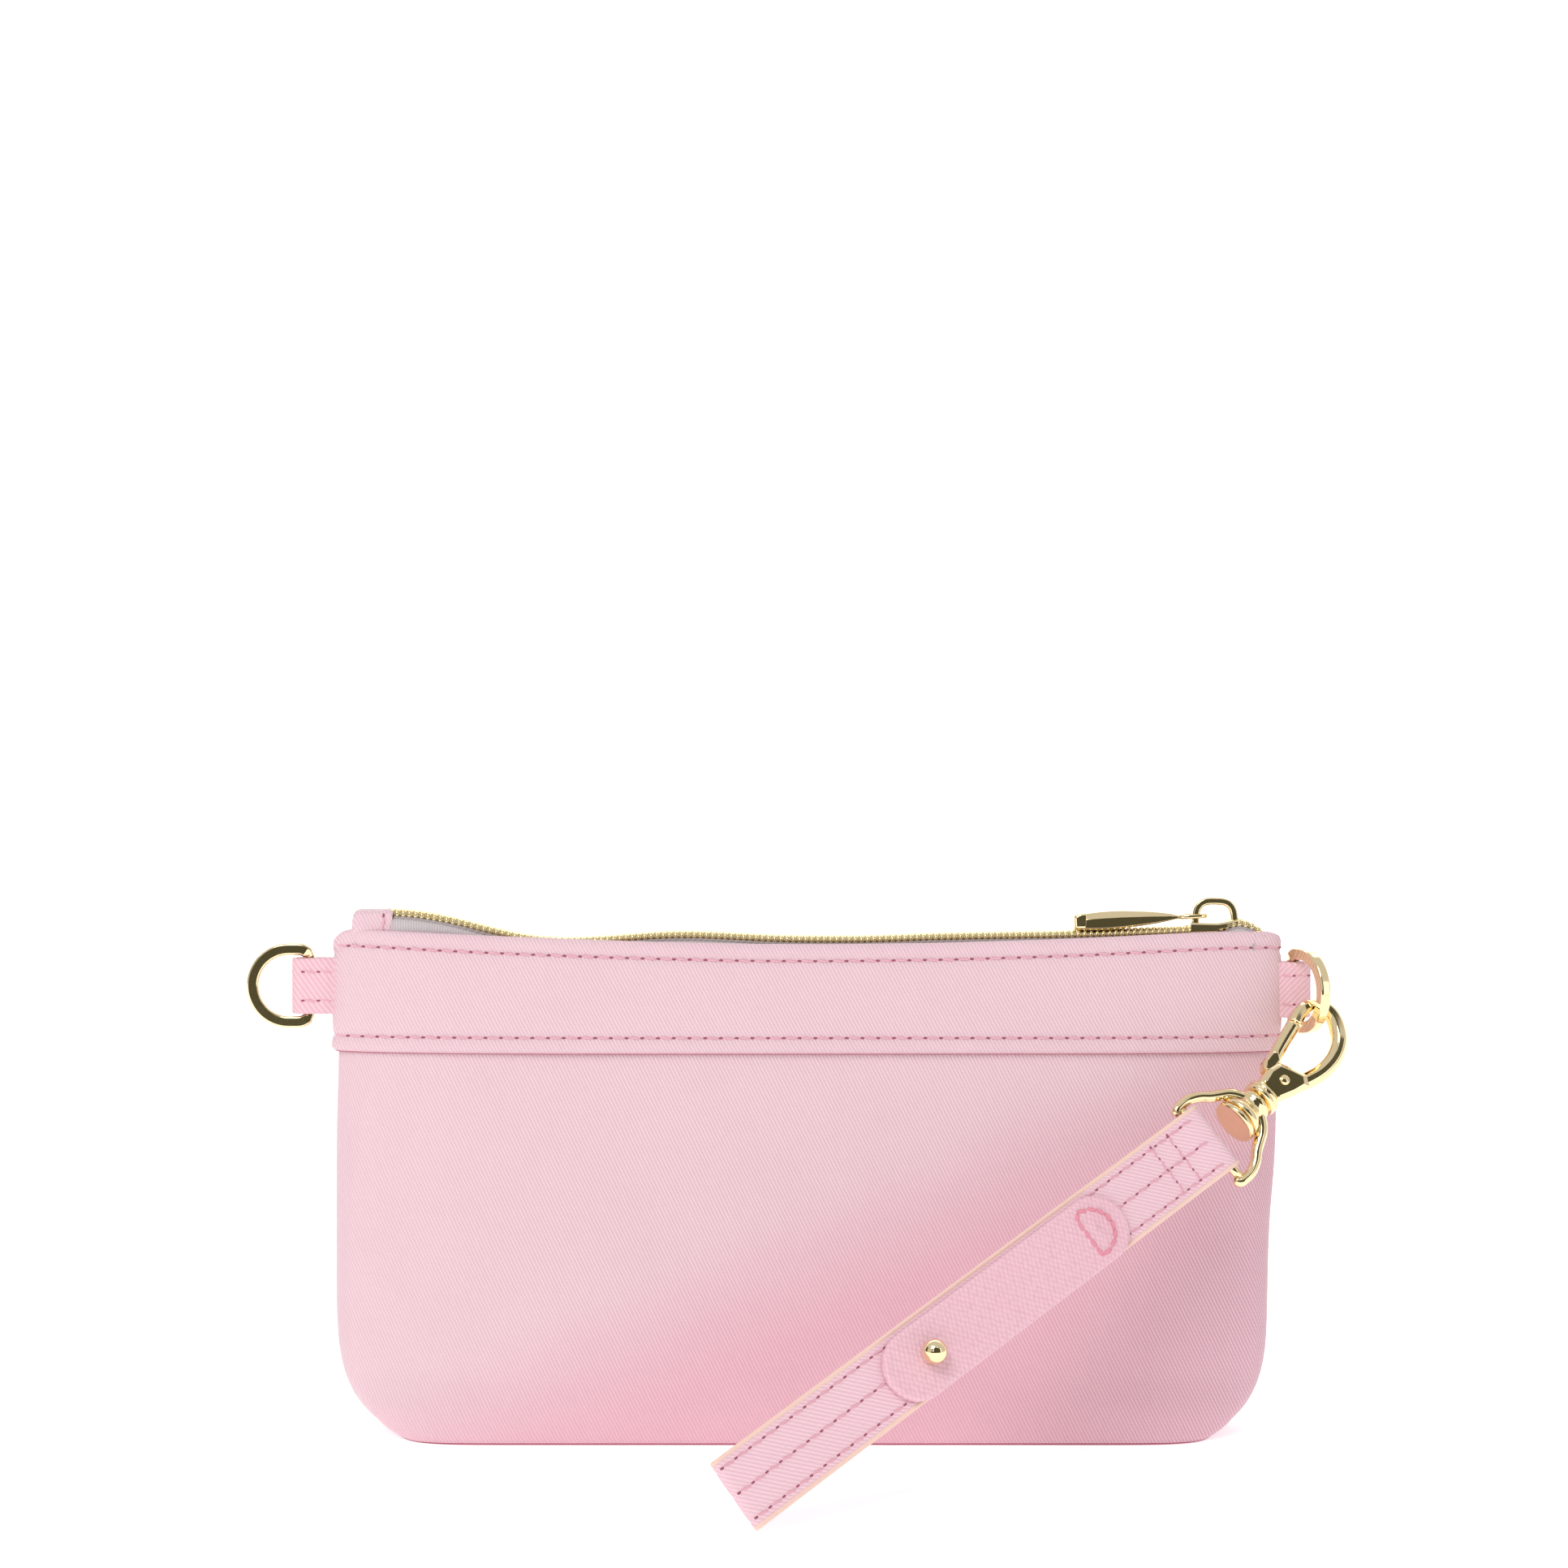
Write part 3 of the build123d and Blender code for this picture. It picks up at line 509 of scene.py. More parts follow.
def soft_shape(x, z, side):
    """Slight hollows and swells of the cloth, in millimetres outwards."""
    rise = noise.noise(Vector((x / 38, z / 30, side * 3))) * 0.35
    for height, middle_x, middle_z, wide, tall in SWELLS[side]:
        rise += height * math.exp(-((x - middle_x) / wide) ** 2 - ((z - middle_z) / tall) ** 2)
    return rise * min(1.0, z / 12)


def off_seam(share):
    """0 at a side seam, soon 1 away from it."""
    return min(1.0, math.cos(share * math.pi / 2) * 4)


def pouch_side(name, side, replaced):
    """Front or back cloth, from the base up to just under the band's top."""
    columns = 260
    seam_share = 0.035
    seam_depth = 6
    heights = [0.02, 0.4, 1, 1.8, 2.8, 4, 5.5, 7, 9, 11, 13.5, 16] + [19 + 3.1 * k for k in range(31)]
    climbs = distances([(outline_point(0, z, side)[1], z) for z in heights])
    verts, uvs = [], []
    for z, climb in zip(heights, climbs):
        for share in shares(columns):
            x, y = outline_point(share, z, side)
            near_seam = max(0.0, 1 - (1 - abs(share)) / seam_share)
            out = soft_shape(x, z, side) * (1 - near_seam) - 0.7 * near_seam ** 2
            y += side * out * off_seam(share)
            x -= math.copysign(0.5 * near_seam ** 2, x)
            verts.append((x, y, z))
            uvs.append((x + math.copysign(max(0.0, seam_depth - abs(y)), x) * 0.5, climb))
    faces = grid(verts, columns + 1)
    add_wall(recalc(mesh_piece(name, verts, faces, uvs, body_twill, "pouch", replaced)), 1.0)


def base_piece():
    """Flat base, a little proud of the panels' lower edge; its dark colour is painted contact shadow along
    the bottom.
    """
    columns = 80
    proud = 0.25
    # From the edge inwards: share of the full size, height.
    rings = [(0.992, 0.5), (1.0, 0.35), (1.0, 0.1), (0.99, 0.0), (0.7, 0.05), (0.3, 0.05), (0.02, 0.05)]
    edge = [outline_point(share, 0, -1, proud) for share in shares(columns)]
    edge += [outline_point(-share, 0, 1, proud) for share in shares(columns)[1:-1]]
    verts = []
    for share, z in rings:
        verts += [(x * share, y * share, z) for x, y in edge]
    last = len(verts) - len(edge)
    faces = grid(verts, len(edge), closed_across=True) + [tuple(range(last, len(verts)))]
    recalc(mesh_piece("base_cloth", verts, faces, None, base_contact_shadow, "pouch", ["base_panel"]))


def inner_cloth(name, side, inset, low, high, half_span, replaced):
    """Lining or pocket cloth inside the pouch."""
    columns, steps = 90, 24
    verts, uvs = [], []
    for r in range(steps + 1):
        z = low + (high - low) * r / steps
        for share in shares(columns):
            x, y = outline_point(share * half_span, z, side, -inset)
            verts.append((x, y - side * 0.2, z))
            uvs.append((x, z))
    add_wall(mesh_piece(name, verts, grid(verts, columns + 1), uvs, lining, "pouch", replaced), 0.3)


for side, word in SIDES:
    pouch_side("pouch_" + word, side, [word + "_panel"])
base_piece()
for side, word in SIDES:
    inner_cloth("lining_cloth_" + word, side, 2.4, 2.2, 108, 1, ["lining_" + word])
inner_cloth("pocket_cloth", 1, 3.4, 24, 92, 0.32, ["inner_pocket"])

# ---------------------------------------------------------------- header band
# Top edge of each side's band along X.
BAND_TOPS = {
    -1: [(-109, 115.3), (-100, 115.2), (-80, 114.2), (-60, 113.4), (-40, 112.7), (-15, 112.1),
         (5, 112.0), (30, 112.3), (60, 113.2), (85, 114.4), (100, 115.0), (109, 114.6)],
    1: [(-109, 115.0), (-85, 113.2), (-60, 112.0), (-30, 111.5), (0, 111.2), (60, 112.3), (90, 113.8),
        (109, 114.4)],
}
LOW_ROW = 3.5          # stitch row above the band's lower edge
TOP_ROW = 3.8          # stitch row below its top edge


def band_profile(z_top):
    """Across the band from its lower hem to the inside of its top edge: out, height."""
    hem = [(0.05, 2.2), (0.05, 0.6), (0.35, 0.12), (0.8, 0), (1.25, 0.2), (1.5, 0.8), (1.52, 1.6),
           (1.35, 2.6), (1.05, 3.2), (0.98, LOW_ROW), (1.1, 3.9), (1.3, 4.8), (1.38, 7), (1.4, 10),
           (1.4, 13)]
    turn = [(1.38, 9), (1.34, 6), (1.24, 4.8), (1.0, 4.1), (0.95, TOP_ROW), (1.05, 3.4), (1.25, 2.6),
            (1.3, 1.6), (1.1, 0.6), (0.65, 0.12), (0.1, 0), (-0.4, 0.2), (-0.75, 0.8), (-0.85, 2),
            (-0.85, 8)]
    return [(out, BAND_LOW + rise) for out, rise in hem] + [(out, z_top - drop) for out, drop in turn]


def band_point(share, out, z, side):
    """Point on the band, out from the panel."""
    x, y = outline_point(share, min(z, 112), side, out + 0.1)
    lift = soft_shape(x, 80, side) * 0.5
    return Vector((x, y + side * lift * off_seam(share), z))


def header_band(name, side, replaced):
    """Band cloth with a rolled hem below and a turned edge on top."""
    columns = 240
    stations = []
    for share in shares(columns):
        x = BAND_HALF * math.sin(share * math.pi / 2)
        profile = band_profile(smooth_at(BAND_TOPS[side], x))
        stations.append((share, x, profile, distances(profile)))
    verts, uvs = [], []
    for r in range(len(stations[0][2])):
        for share, x, profile, climbs in stations:
            out, z = profile[r]
            corner = max(0.0, 1 - (1 - abs(share)) / 0.05)
            if z > 105:
                rounding = 2.2 if x < 0 else 0.9
                z -= rounding * max(0.0, 1 - (BAND_HALF - abs(x)) / 4.5) ** 2.5
            if z < BAND_LOW + 3:
                z += 0.5 * corner ** 3
            p = band_point(share, out - 0.25 * corner ** 2, z, side)
            verts.append(p)
            uvs.append((p.x, climbs[r]))
    faces = grid(verts, columns + 1)
    add_wall(recalc(mesh_piece(name, verts, faces, uvs, band_twill, "pouch", replaced)), 0.25)


def hem_shadow_line(name, side):
    """Thin dark strip under the band's hem: painted shadow that the hem casts on the panel below."""
    path = [band_point(share * 0.995, 0.42, BAND_LOW + 0.02, side) for share in shares(200)]
    section = [(a * 0.32, b * 0.3) for a, b in circle(1.0, 8)]
    swept(name, path, section, UP, hem_painted_shadow, "pouch")


def band_stitch_path(side, which):
    """Where a stitch row runs on the band, by distance from the left seam."""
    def at(s):
        x = s - 107.6
        share = math.asin(max(-1, min(1, x / 108.0))) * 2 / math.pi
        z = BAND_LOW + LOW_ROW if which == "low" else smooth_at(BAND_TOPS[side], x) - TOP_ROW
        p, before, after = [
            band_point(near, 1.12, z, side) for near in (share, max(-1, share - 0.01), min(1, share + 0.01))]
        return p, (after - before).normalized().cross(UP) * -side
    return at


for side, word in SIDES:
    header_band("band_" + word + "_cloth", side, [word + "_band"])
for side, word in SIDES:
    hem_shadow_line("hem_shadow_paint_" + word, side)
for side, word in SIDES:
    for which in ("low", "top"):
        row = band_stitch_path(side, which)
        stitch_row("band_stitch_" + word + "_" + which, row, 215.2, thread, "pouch")

# ---------------------------------------------------------------- zip
# Height of the top of the chain along X.
CHAIN_TOP = [
    (-104, 119.9), (-96, 120.1), (-89, 119.6), (-82, 118.2), (-75, 116.4), (-67.7, 114.3), (-60, 113.2),
    (-50, 113.3), (-40, 114.2), (-32, 114.9), (-22, 114.7), (-11, 114.0), (-4, 113.7), (17, 113.7),
    (24, 114.2), (45, 114.6), (59, 114.8), (76, 115.3), (87, 115.8), (94, 116.0), (97, 117.2), (99, 117.6),
    (101.5, 117.0), (104.5, 115.2), (107, 112.6),
]
COIL_PITCH = 1.42
COIL_FROM = -95.6
COIL_TO = 105.2
COIL_OUT = 1.25        # middle of each coil row from the zip's middle
COIL_WIDE = 1.85
COIL_HIGH = 0.72
COIL_WIRE = 0.55
TAPE_FROM = -95.2
TAPE_TO = 102.5


def chain_centre(x):
    """Middle of the chain at x; its steep right end isn't rounded."""
    reading = smooth_at if x < 90 else value_at
    return Vector((x, 0, reading(CHAIN_TOP, x) - 1.1))


def coil_helix(name, side, replaced):
    """Flattened helix of one coil row; the back row is half a turn further on."""
    shift = 0.0 if side < 0 else 0.5
    steps_per_turn, around = 14, 6
    turns = int((COIL_TO - COIL_FROM) / COIL_PITCH)
    spine = []
    for i in range(turns * steps_per_turn + 1):
        t = i / steps_per_turn
        c, s = math.cos(2 * math.pi * t), math.sin(2 * math.pi * t)
        middle = chain_centre(COIL_FROM + COIL_PITCH * (t + shift))
        spine.append(middle + Vector((0.2 * c, side * (COIL_OUT + COIL_WIDE * c), COIL_HIGH * s)))
    verts = []
    for before, p, after in zip([spine[0]] + spine, spine, spine[1:] + [spine[-1]]):
        tangent = (after - before).normalized()
        flat = tangent.cross(Vector((1, 0, 0)))
        flat = flat.normalized() if flat.length > 1e-6 else UP
        other = tangent.cross(flat).normalized()
        verts += [p + flat * c + other * s for c, s in circle(COIL_WIRE, around)]
    ring_piece(name, verts, around, gold_coil, "pouch", replaced)


def coil_core(name, side):
    """Cord that the coil is sewn round."""
    length = COIL_TO - COIL_FROM
    path = [chain_centre(COIL_FROM + length * k / 120) + ACROSS * side * 1.5 for k in range(121)]
    swept(name, path, [(a * 0.62, b * 1.5) for a, b in circle(1.0, 12)], ACROSS, core_cord, "pouch")


def zip_tape(name, side, replaced):
    """Tape from under the coil down inside the band."""
    columns, drops = 200, 4
    top_part = [(1.0, -0.95), (2.2, -1.15), (3.1, -1.2), (3.75, -1.6), (4.1, -2.6)]
    verts, uvs = [], []
    for r in range(len(top_part) + drops):
        for c in range(columns + 1):
            x = TAPE_FROM + (TAPE_TO - TAPE_FROM) * c / columns
            middle = chain_centre(x).z
            if r < len(top_part):
                y, z = top_part[r][0], middle + top_part[r][1]
            else:
                drop = (r - drops) / drops
                z = (middle - 2.6) * (1 - drop) + (smooth_at(BAND_TOPS[side], x) - 9) * drop
                y = 4.1 + 0.45 * drop
            if x > 97:
                y = min(y, 4.3 - 0.5 * (x - 97) / 5)
            verts.append((x, side * y, z))
            uvs.append((x, r * 1.6))
    add_wall(mesh_piece(name, verts, grid(verts, columns + 1), uvs, tape_cloth, "pouch", replaced), 0.35)


def tape_cord_row(name, side):
    """Sewing cord seen as a row of grey beads under the gold coil."""
    steps, around = 10, 8
    turns = int((COIL_TO - 2 - COIL_FROM) / COIL_PITCH)
    verts = []
    for i in range(turns * steps + 1):
        t = i / steps
        middle = chain_centre(COIL_FROM + COIL_PITCH * (t + 0.5)) + Vector((0, side * 3.05, -0.95))
        swell = 0.42 + 0.22 * abs(math.sin(math.pi * t))
        verts += [middle + Vector((0.25 * s, swell * c, swell * s)) for c, s in circle(1.0, around)]
    ring_piece(name, verts, around, tape_cord, "pouch")


def end_tab():
    """Twill tab folded over the left end of the zip."""
    left, right, top, low, half = -104.4, -94.9, 119.7, 111.0, 4.0
    fold = []
    for k in range(25):
        angle = math.pi * k / 24
        fold.append((-3.9 * math.cos(angle), top - 1.7 + 1.7 * math.sin(angle) ** 0.6))
    section = [(-half, low), (-half, low + 4)] + fold + [(half, low + 4), (half, low)]
    climbs = distances(section)
    # Along X: place and share of the full section, over 1 at the turned-in right edge.
    spans = [(left, 0.0), (left + 0.25, 0.6), (left + 0.8, 0.93), (left + 1.6, 1.0), (right - 2.0, 1.0),
             (right - 1.55, 1.0), (right - 1.4, 1.045), (right - 0.2, 1.045), (right, 0.98),
             (right - 0.05, 0.88)]
    verts, uvs = [], []
    for x, share in spans:
        drop = (1 - share) * 2.2 if share <= 1 else -0.18
        wide = 0.75 + 0.25 * share if share <= 1 else share
        for climb, (y, z) in zip(climbs, section):
            verts.append((x, y * wide, z - (0.0 if z < low + 1 else drop)))
            uvs.append((x, climb))
    faces = grid(verts, len(section))
    tab = mesh_piece("end_tab_cloth", verts, faces, uvs, band_twill, "pouch", ["zip_end_tab"])
    add_wall(recalc(tab), 0.5)

    def tab_stitch(s):
        return Vector((right - 2.1, -3.98, low + 0.2 + s)), -ACROSS
    stitch_row("end_tab_stitch", tab_stitch, 7.2, thread, "pouch", pitch=3.0)


for side, word in SIDES:
    coil_helix("coil_" + word, side, ["zip_coil_" + word])
for side, word in SIDES:
    coil_core("coil_core_" + word, side)
for side, word in SIDES:
    zip_tape("tape_" + word + "_cloth", side, ["zip_tape_" + word])
for side, word in SIDES:
    tape_cord_row("tape_cord_" + word, side)
end_tab()

# ---------------------------------------------------------------- side tabs and D-rings
LEFT_BAR = Vector(joints["left_ring_swing"]["pos_m"]) / MM
RIGHT_BAR = Vector(joints["right_ring_swing"]["pos_m"]) / MM
TAB_WALL = 1.15
TAB_TALL = 12.8


def side_tab(name, side, bar, reach, replaced):
    """Folded half-inch tab round the ring's bar, with a stitch row near each edge."""
    loop = 1.45 + TAB_WALL / 2
    tip = reach - TAB_WALL / 2 - loop
    neck = [(106.5, 1.0), (108.8, 1.3), (111, 1.95), (abs(bar.x), loop), (tip, loop)]
    turn = [(tip + out, y) for out, y in arc(loop, -90, 90, 8)[1:-1]]
    outline = [(out, -y) for out, y in neck] + turn + neck[::-1]
    path = smooth_path([Vector((side * out, y, bar.z)) for out, y in outline], 4)
    swept(name, path, box_section(TAB_WALL, TAB_TALL, 0.45), UP, tab_twill, "pouch", replaced)
    lengths = distances(path)

    for row, height in (("upper", 3.3), ("lower", -3.3)):
        def at(s, height=height):
            s = max(0.0, min(s + 2.2, lengths[-1] - 0.01))
            i = max(k for k in range(len(path) - 1) if lengths[k] <= s)
            t = (s - lengths[i]) / max(1e-6, lengths[i + 1] - lengths[i])
            p = path[i].lerp(path[i + 1], t)
            out = (path[i + 1] - path[i]).normalized().cross(UP)
            out = out if out.y * p.y > 0 else -out
            return p + out * (TAB_WALL / 2) + UP * height, out
        stitch_row(name + "_stitch_" + row, at, lengths[-1] - 4.4, thread, "pouch", pitch=3.2)


def d_ring(name, bar, angle, body, replaced):
    """Flat-faced D-ring with rounded bevels, thinner where its bar is inside the tab."""
    wire, span, tall, deep, corner = 2.7, 16.2, 19.5, 2.5, 3.0
    radius = (tall - wire) / 2
    straight = span - wire / 2 - tall / 2
    side_half = radius - corner
    flat = [(straight + a, b) for a, b in arc(radius, -90, 90, 32)]
    flat += [((straight + corner) / 2, radius), (corner, radius)]
    flat += [(corner + a, side_half + b) for a, b in arc(corner, 90, 180, 8)[1:]]
    flat += [(0, side_half * (1 - 2 * k / 8)) for k in range(1, 8)]
    flat += [(corner + a, b - side_half) for a, b in arc(corner, 180, 270, 8)]
    flat += [((straight + corner) / 2, -radius)]
    out = Vector((math.cos(math.radians(angle)), math.sin(math.radians(angle)), 0))
    path = [bar + out * a + UP * b for a, b in flat]

    def thin_bar(t):
        away, height = flat[round(t * (len(flat) - 1))]
        inside_tab = away < 1.0 and abs(height) < 7.2
        return (0.7, 0.7) if inside_tab else (1, 1)

    section = facet_section(wire, deep, 0.34, 0.08)
    swept(name, path, section, out.cross(UP), gold, body, replaced, closed=True, size=thin_bar)


side_tab("left_tab_cloth", -1, LEFT_BAR, 118.6, ["side_tab_left"])
side_tab("right_tab_cloth", 1, RIGHT_BAR, 116.0, ["side_tab_right"])
d_ring("ring_left", LEFT_BAR, 180, "left_ring", ["d_ring_left"])
d_ring("ring_right", RIGHT_BAR, -69, "right_ring", ["d_ring_right"])

# ---------------------------------------------------------------- slider and pull
zip_x = -Vector(joints["zip_slide"]["axis"])
zip_z = Vector((-zip_x.z, 0, zip_x.x)) * (1 if zip_x.x > 0 else -1)
PIVOT = Vector(joints["pull_lift"]["pos_m"]) / MM
CENTRE = 2.6           # slider centre, right of the pivot
FLOOR = -2.6           # top of the chain, below the pivot
PULL_TILT = math.radians(-4.3)


def zip_local(x, y, z):
    """Point from the pull's pivot, along the chain, across it and up."""
    return PIVOT + zip_x * x + ACROSS * y + zip_z * z


def power_curve(value, power):
    """Power of a sine or cosine that keeps its sign."""
    return math.copysign(abs(value) ** power, value)


def slider():
    """Top plate rising to the right, side walls on the left part, lips below, and the arch."""
    half = 5.95
    verts = []
    for x in (-half, -half + 0.3, -half + 1.0, -1.5, 0.1, 0.25, 2.4, half - 0.6, half):
        open_part = max(0.0, min(1.0, (x - 0.1) / 0.15))
        tip = max(0.0, (x - 0.6) / (half - 0.6))
        lift = 1.1 * tip
        pinch = 1.0 if x > -half + 0.5 else 0.96
        low = -2.3 * (1 - open_part) - 0.1 * open_part
        plate = 1.05 + lift
        under = 0.15 + lift * 0.9
        wide = (4.0 - 1.4 * tip ** 2) * pinch
        lip = 1.4 if open_part < 0.5 else wide - 0.4
        right_half = [(wide - 0.5, plate), (wide, plate - 0.4), (wide, low - 0.1), (wide - 0.3, low - 0.45),
                      (lip, low - 0.45), (lip, low), (wide - 0.65, low), (wide - 0.65, under)]
        outline = right_half + [(-y, z) for y, z in reversed(right_half)]
        for y, z in outline:
            keep_thin = max(z, under - 0.35) if open_part >= 1 else z
            verts.append(zip_local(CENTRE + x, y, FLOOR + keep_thin))
    plates = ring_piece("slider_plates", verts, len(outline), gold, "slider", ["slider_body"], ends=True)
    flatten_shading(plates)
    add_bevel(plates, 0.16, 25)
    path = [zip_local(CENTRE - 4.4, 0, FLOOR + 0.8)]
    for c, s in arc(1.0, 180, 0, 40):
        path.append(zip_local(CENTRE + 4.5 * power_curve(c, 0.62), 0, FLOOR + 1.0 + 5.0 * abs(s) ** 0.72))
    path.append(zip_local(CENTRE + 4.4, 0, FLOOR + 1.2))
    section = facet_section(1.65, 2.9, 0.3, 0.07)
    swept("slider_arch", path, section, ACROSS, gold, "slider", ["slider_bridge"])


def pull_point(run, y, z):
    """Point of the pull: distance from the pivot along it, across, and out of its middle plane."""
    c, s = math.cos(PULL_TILT), math.sin(PULL_TILT)
    return zip_local(-(run * c + z * s), y, run * s + z * c)


def pull():
    """Long drop-shaped pull, thick at its blunt end, with a crisp ridge and a small end block."""
    # Along the pull: distance, then height above, height below, half width.
    above = [(5.0, 0.42), (6.5, 0.55), (7.6, 0.9), (12, 1.6), (20, 2.3), (25, 2.2), (27.4, 2.0)]
    below = [(5.0, -0.42), (6.5, -0.5), (7.6, -0.7), (12, -1.3), (20, -1.95), (25, -1.9), (27.4, -1.7)]
    half_width = [(5.0, 0.9), (6.5, 1.1), (8.0, 1.6), (14, 2.7), (21, 3.4), (26, 3.4), (27.4, 3.2)]
    verts = []
    for run in (5.0, 5.8, 6.5, 7.1, 7.8, 9, 11, 13.5, 16, 19, 22, 24.5, 26.4, 27.4):
        w, t, b = [value_at(table, run) for table in (half_width, above, below)]
        half = [(w * 0.5, t), (w * 0.93, t * 0.35), (w, b * 0.75), (w * 0.85, b)]
        verts += [pull_point(run, y, z) for y, z in half + [(-y, z) for y, z in reversed(half)]]
    body = ring_piece("pull_body", verts, 8, gold, "pull", ["zip_pull"], ends=True)
    add_bevel(body, 0.15, 20, segments=3).harden_normals = True
    eye = []
    for c, s in circle(1.0, 32):
        eye.append(pull_point(2.55 + 3.0 * power_curve(c, 0.8), 2.25 * power_curve(s, 0.7), 0))
    swept("pull_eye", eye, box_section(1.15, 1.0, 0.35), zip_z, gold, "pull", closed=True)
    block = [pull_point(run, 0, 0.15) for run in (27.0, 27.5, 28.4, 29.3, 29.8)]
    swept("pull_end_block", block, box_section(3.9, 5.4, 0.7, steps=4), ACROSS, gold, "pull",
          size=lambda t: (1.0 - 0.14 * t ** 3, 1.0 - 0.12 * t ** 3))


slider()
pull()

# ---------------------------------------------------------------- clasp
clasp_origin = Vector(joints["strap_hinge"]["pos_m"]) / MM
clasp_a = Vector(joints["swivel_turn"]["axis"])
clasp_n = -Vector(joints["gate_press"]["axis"])
clasp_b = clasp_n.cross(clasp_a)


def clasp(p, q, s=0.0):
    """Point along, across and out of the clasp, from the middle of its bar."""
    return clasp_origin + clasp_a * p + clasp_b * q + clasp_n * s


def turned(name, profile, replaced, body):
    """Round piece on the clasp's swivel axis: profile of (along, radius)."""
    around = 48
    verts = [clasp(p, c, s) for p, radius in profile for c, s in circle(radius, around)]
    ring_piece(name, verts, around, gold, body, replaced, ends=True)


def clasp_base():
    """Omega-shaped loop of round wire with a hub, and the bar through the strap fold."""
    arm = [(-1.1, 9.7), (-0.8, 10.2), (0.2, 10.45), (2.9, 10.35), (5.4, 9.3), (7.4, 7.8), (9.3, 6.7),
           (11.2, 5.6), (12.6, 4.2), (13.6, 2.6)]
    around = 20
    for sign, word, replaced in ((1, "upper", ["clasp_base"]), (-1, "lower", ())):
        points = [clasp(p, sign * q) for p, q in arm]
        swept("base_arm_" + word, smooth_path(points, 6), circle(1.2, around), clasp_n, gold, "swivel_base",
              replaced, size=lambda t: (0.95 + 0.3 * t * t, 0.95 + 0.55 * t))
        back = (points[0] - points[1]).normalized()
        side_way = clasp_n.cross(back)
        verts = []
        for c, s in arc(1.0, 0, 90, 6):
            centre = points[0] + back * 0.9 * s
            verts += [centre + side_way * a + clasp_n * b for a, b in circle(1.14 * c + 0.01, around)]
        ring_piece("base_tip_" + word, verts, around, gold, "swivel_base")
    bar = [clasp(0, 19.6 * (k / 8 - 0.5)) for k in range(9)]
    swept("base_bar", bar, circle(1.05, 14), clasp_n, gold, "swivel_base")
    hub = [(9.3, 1.6), (9.3, 4.6), (9.6, 5.0), (10.5, 4.8), (11.6, 4.1), (12.4, 3.4), (13.6, 3.2),
           (14.0, 3.6), (14.9, 3.75), (15.4, 3.5), (15.6, 1.6)]
    turned("base_hub", hub, (), "swivel_base")


def swivel():
    """Flat round head of the post and the stepped collar."""
    head = [(7.55, 0.02), (7.5, 2.0), (7.5, 4.6), (7.6, 4.95), (7.95, 5.12), (8.4, 5.12), (8.75, 4.95),
            (8.85, 4.6), (8.9, 1.5)]
    collar = [(15.9, 1.5), (15.9, 3.5), (16.05, 3.85), (16.35, 4.1), (17.0, 4.15), (17.15, 3.9), (17.3, 3.9),
              (17.45, 4.15), (18.1, 4.1), (18.35, 3.8), (18.4, 1.5)]
    turned("post_head", head, ["swivel_post"], "hook")
    turned("collar_ring", collar, ["swivel_collar"], "hook")


def solid_plate(name, outline, half_depth, flat_half, narrow, centre, body, bevel_width):
    """Faceted plate in the clasp's plane, its outline shrunk about a centre towards both faces."""
    middle = Vector(centre)
    verts = []
    for depth, share in ((-half_depth, narrow), (-flat_half, 1.0), (flat_half, 1.0), (half_depth, narrow)):
        verts += [clasp(*middle.lerp(Vector(corner), share), depth) for corner in outline]
    plate = ring_piece(name, verts, len(outline), gold, body, ends=True)
    flatten_shading(plate)
    add_bevel(plate, bevel_width, 15)


def hook():
    """C of the hook with flat faces, its faceted root and the nose the gate closes on."""
    points = [(24.6, -2.5), (29.0, -4.0), (33.5, -4.7), (38.2, -4.1), (42.2, -1.9), (44.7, 1.8), (45.0, 5.0),
              (43.4, 7.4), (41.0, 8.3), (38.6, 8.1), (36.3, 7.3)]
    # Share of the full section along the wire.
    wide = [(0, 1.05), (0.15, 1.0), (0.35, 0.98), (0.55, 0.88), (0.72, 0.72), (0.85, 0.8), (1, 0.9)]
    deep = [(0, 1.0), (0.4, 1.0), (0.7, 0.86), (1, 0.92)]
    path = smooth_path([clasp(p, q) for p, q in points], 6)
    swept("hook_wire", path, facet_section(3.7, 4.0, 1.05, 0.16), clasp_n, gold, "hook", ["clasp_hook"],
          size=lambda t: (value_at(wide, t), value_at(deep, t)))
    outline = [(18.4, -2.9), (20.6, -3.6), (23.5, -4.5), (27.5, -5.2), (29.0, -3.2), (27.2, 0.6),
               (25.6, 3.4), (22.4, 3.9), (18.4, 2.9)]
    solid_plate("hook_root", outline, 2.65, 1.7, 0.78, (22.8, -0.5), "hook", 0.3)


def rivet():
    """Domed rivet heads on both cheeks."""
    around = 24
    dome = [(2.5, 1.15), (2.85, 1.15), (3.05, 1.0), (3.2, 0.7), (3.28, 0.3), (3.3, 0.02)]
    for sign, word, replaced in ((1, "front", ["gate_pin"]), (-1, "back", ())):
        verts = []
        for height, radius in dome:
            verts += [clasp(23.2 + c, s - 0.4, sign * height) for c, s in circle(radius, around)]
        ring_piece("rivet_" + word, verts, around, gold, "hook", replaced)


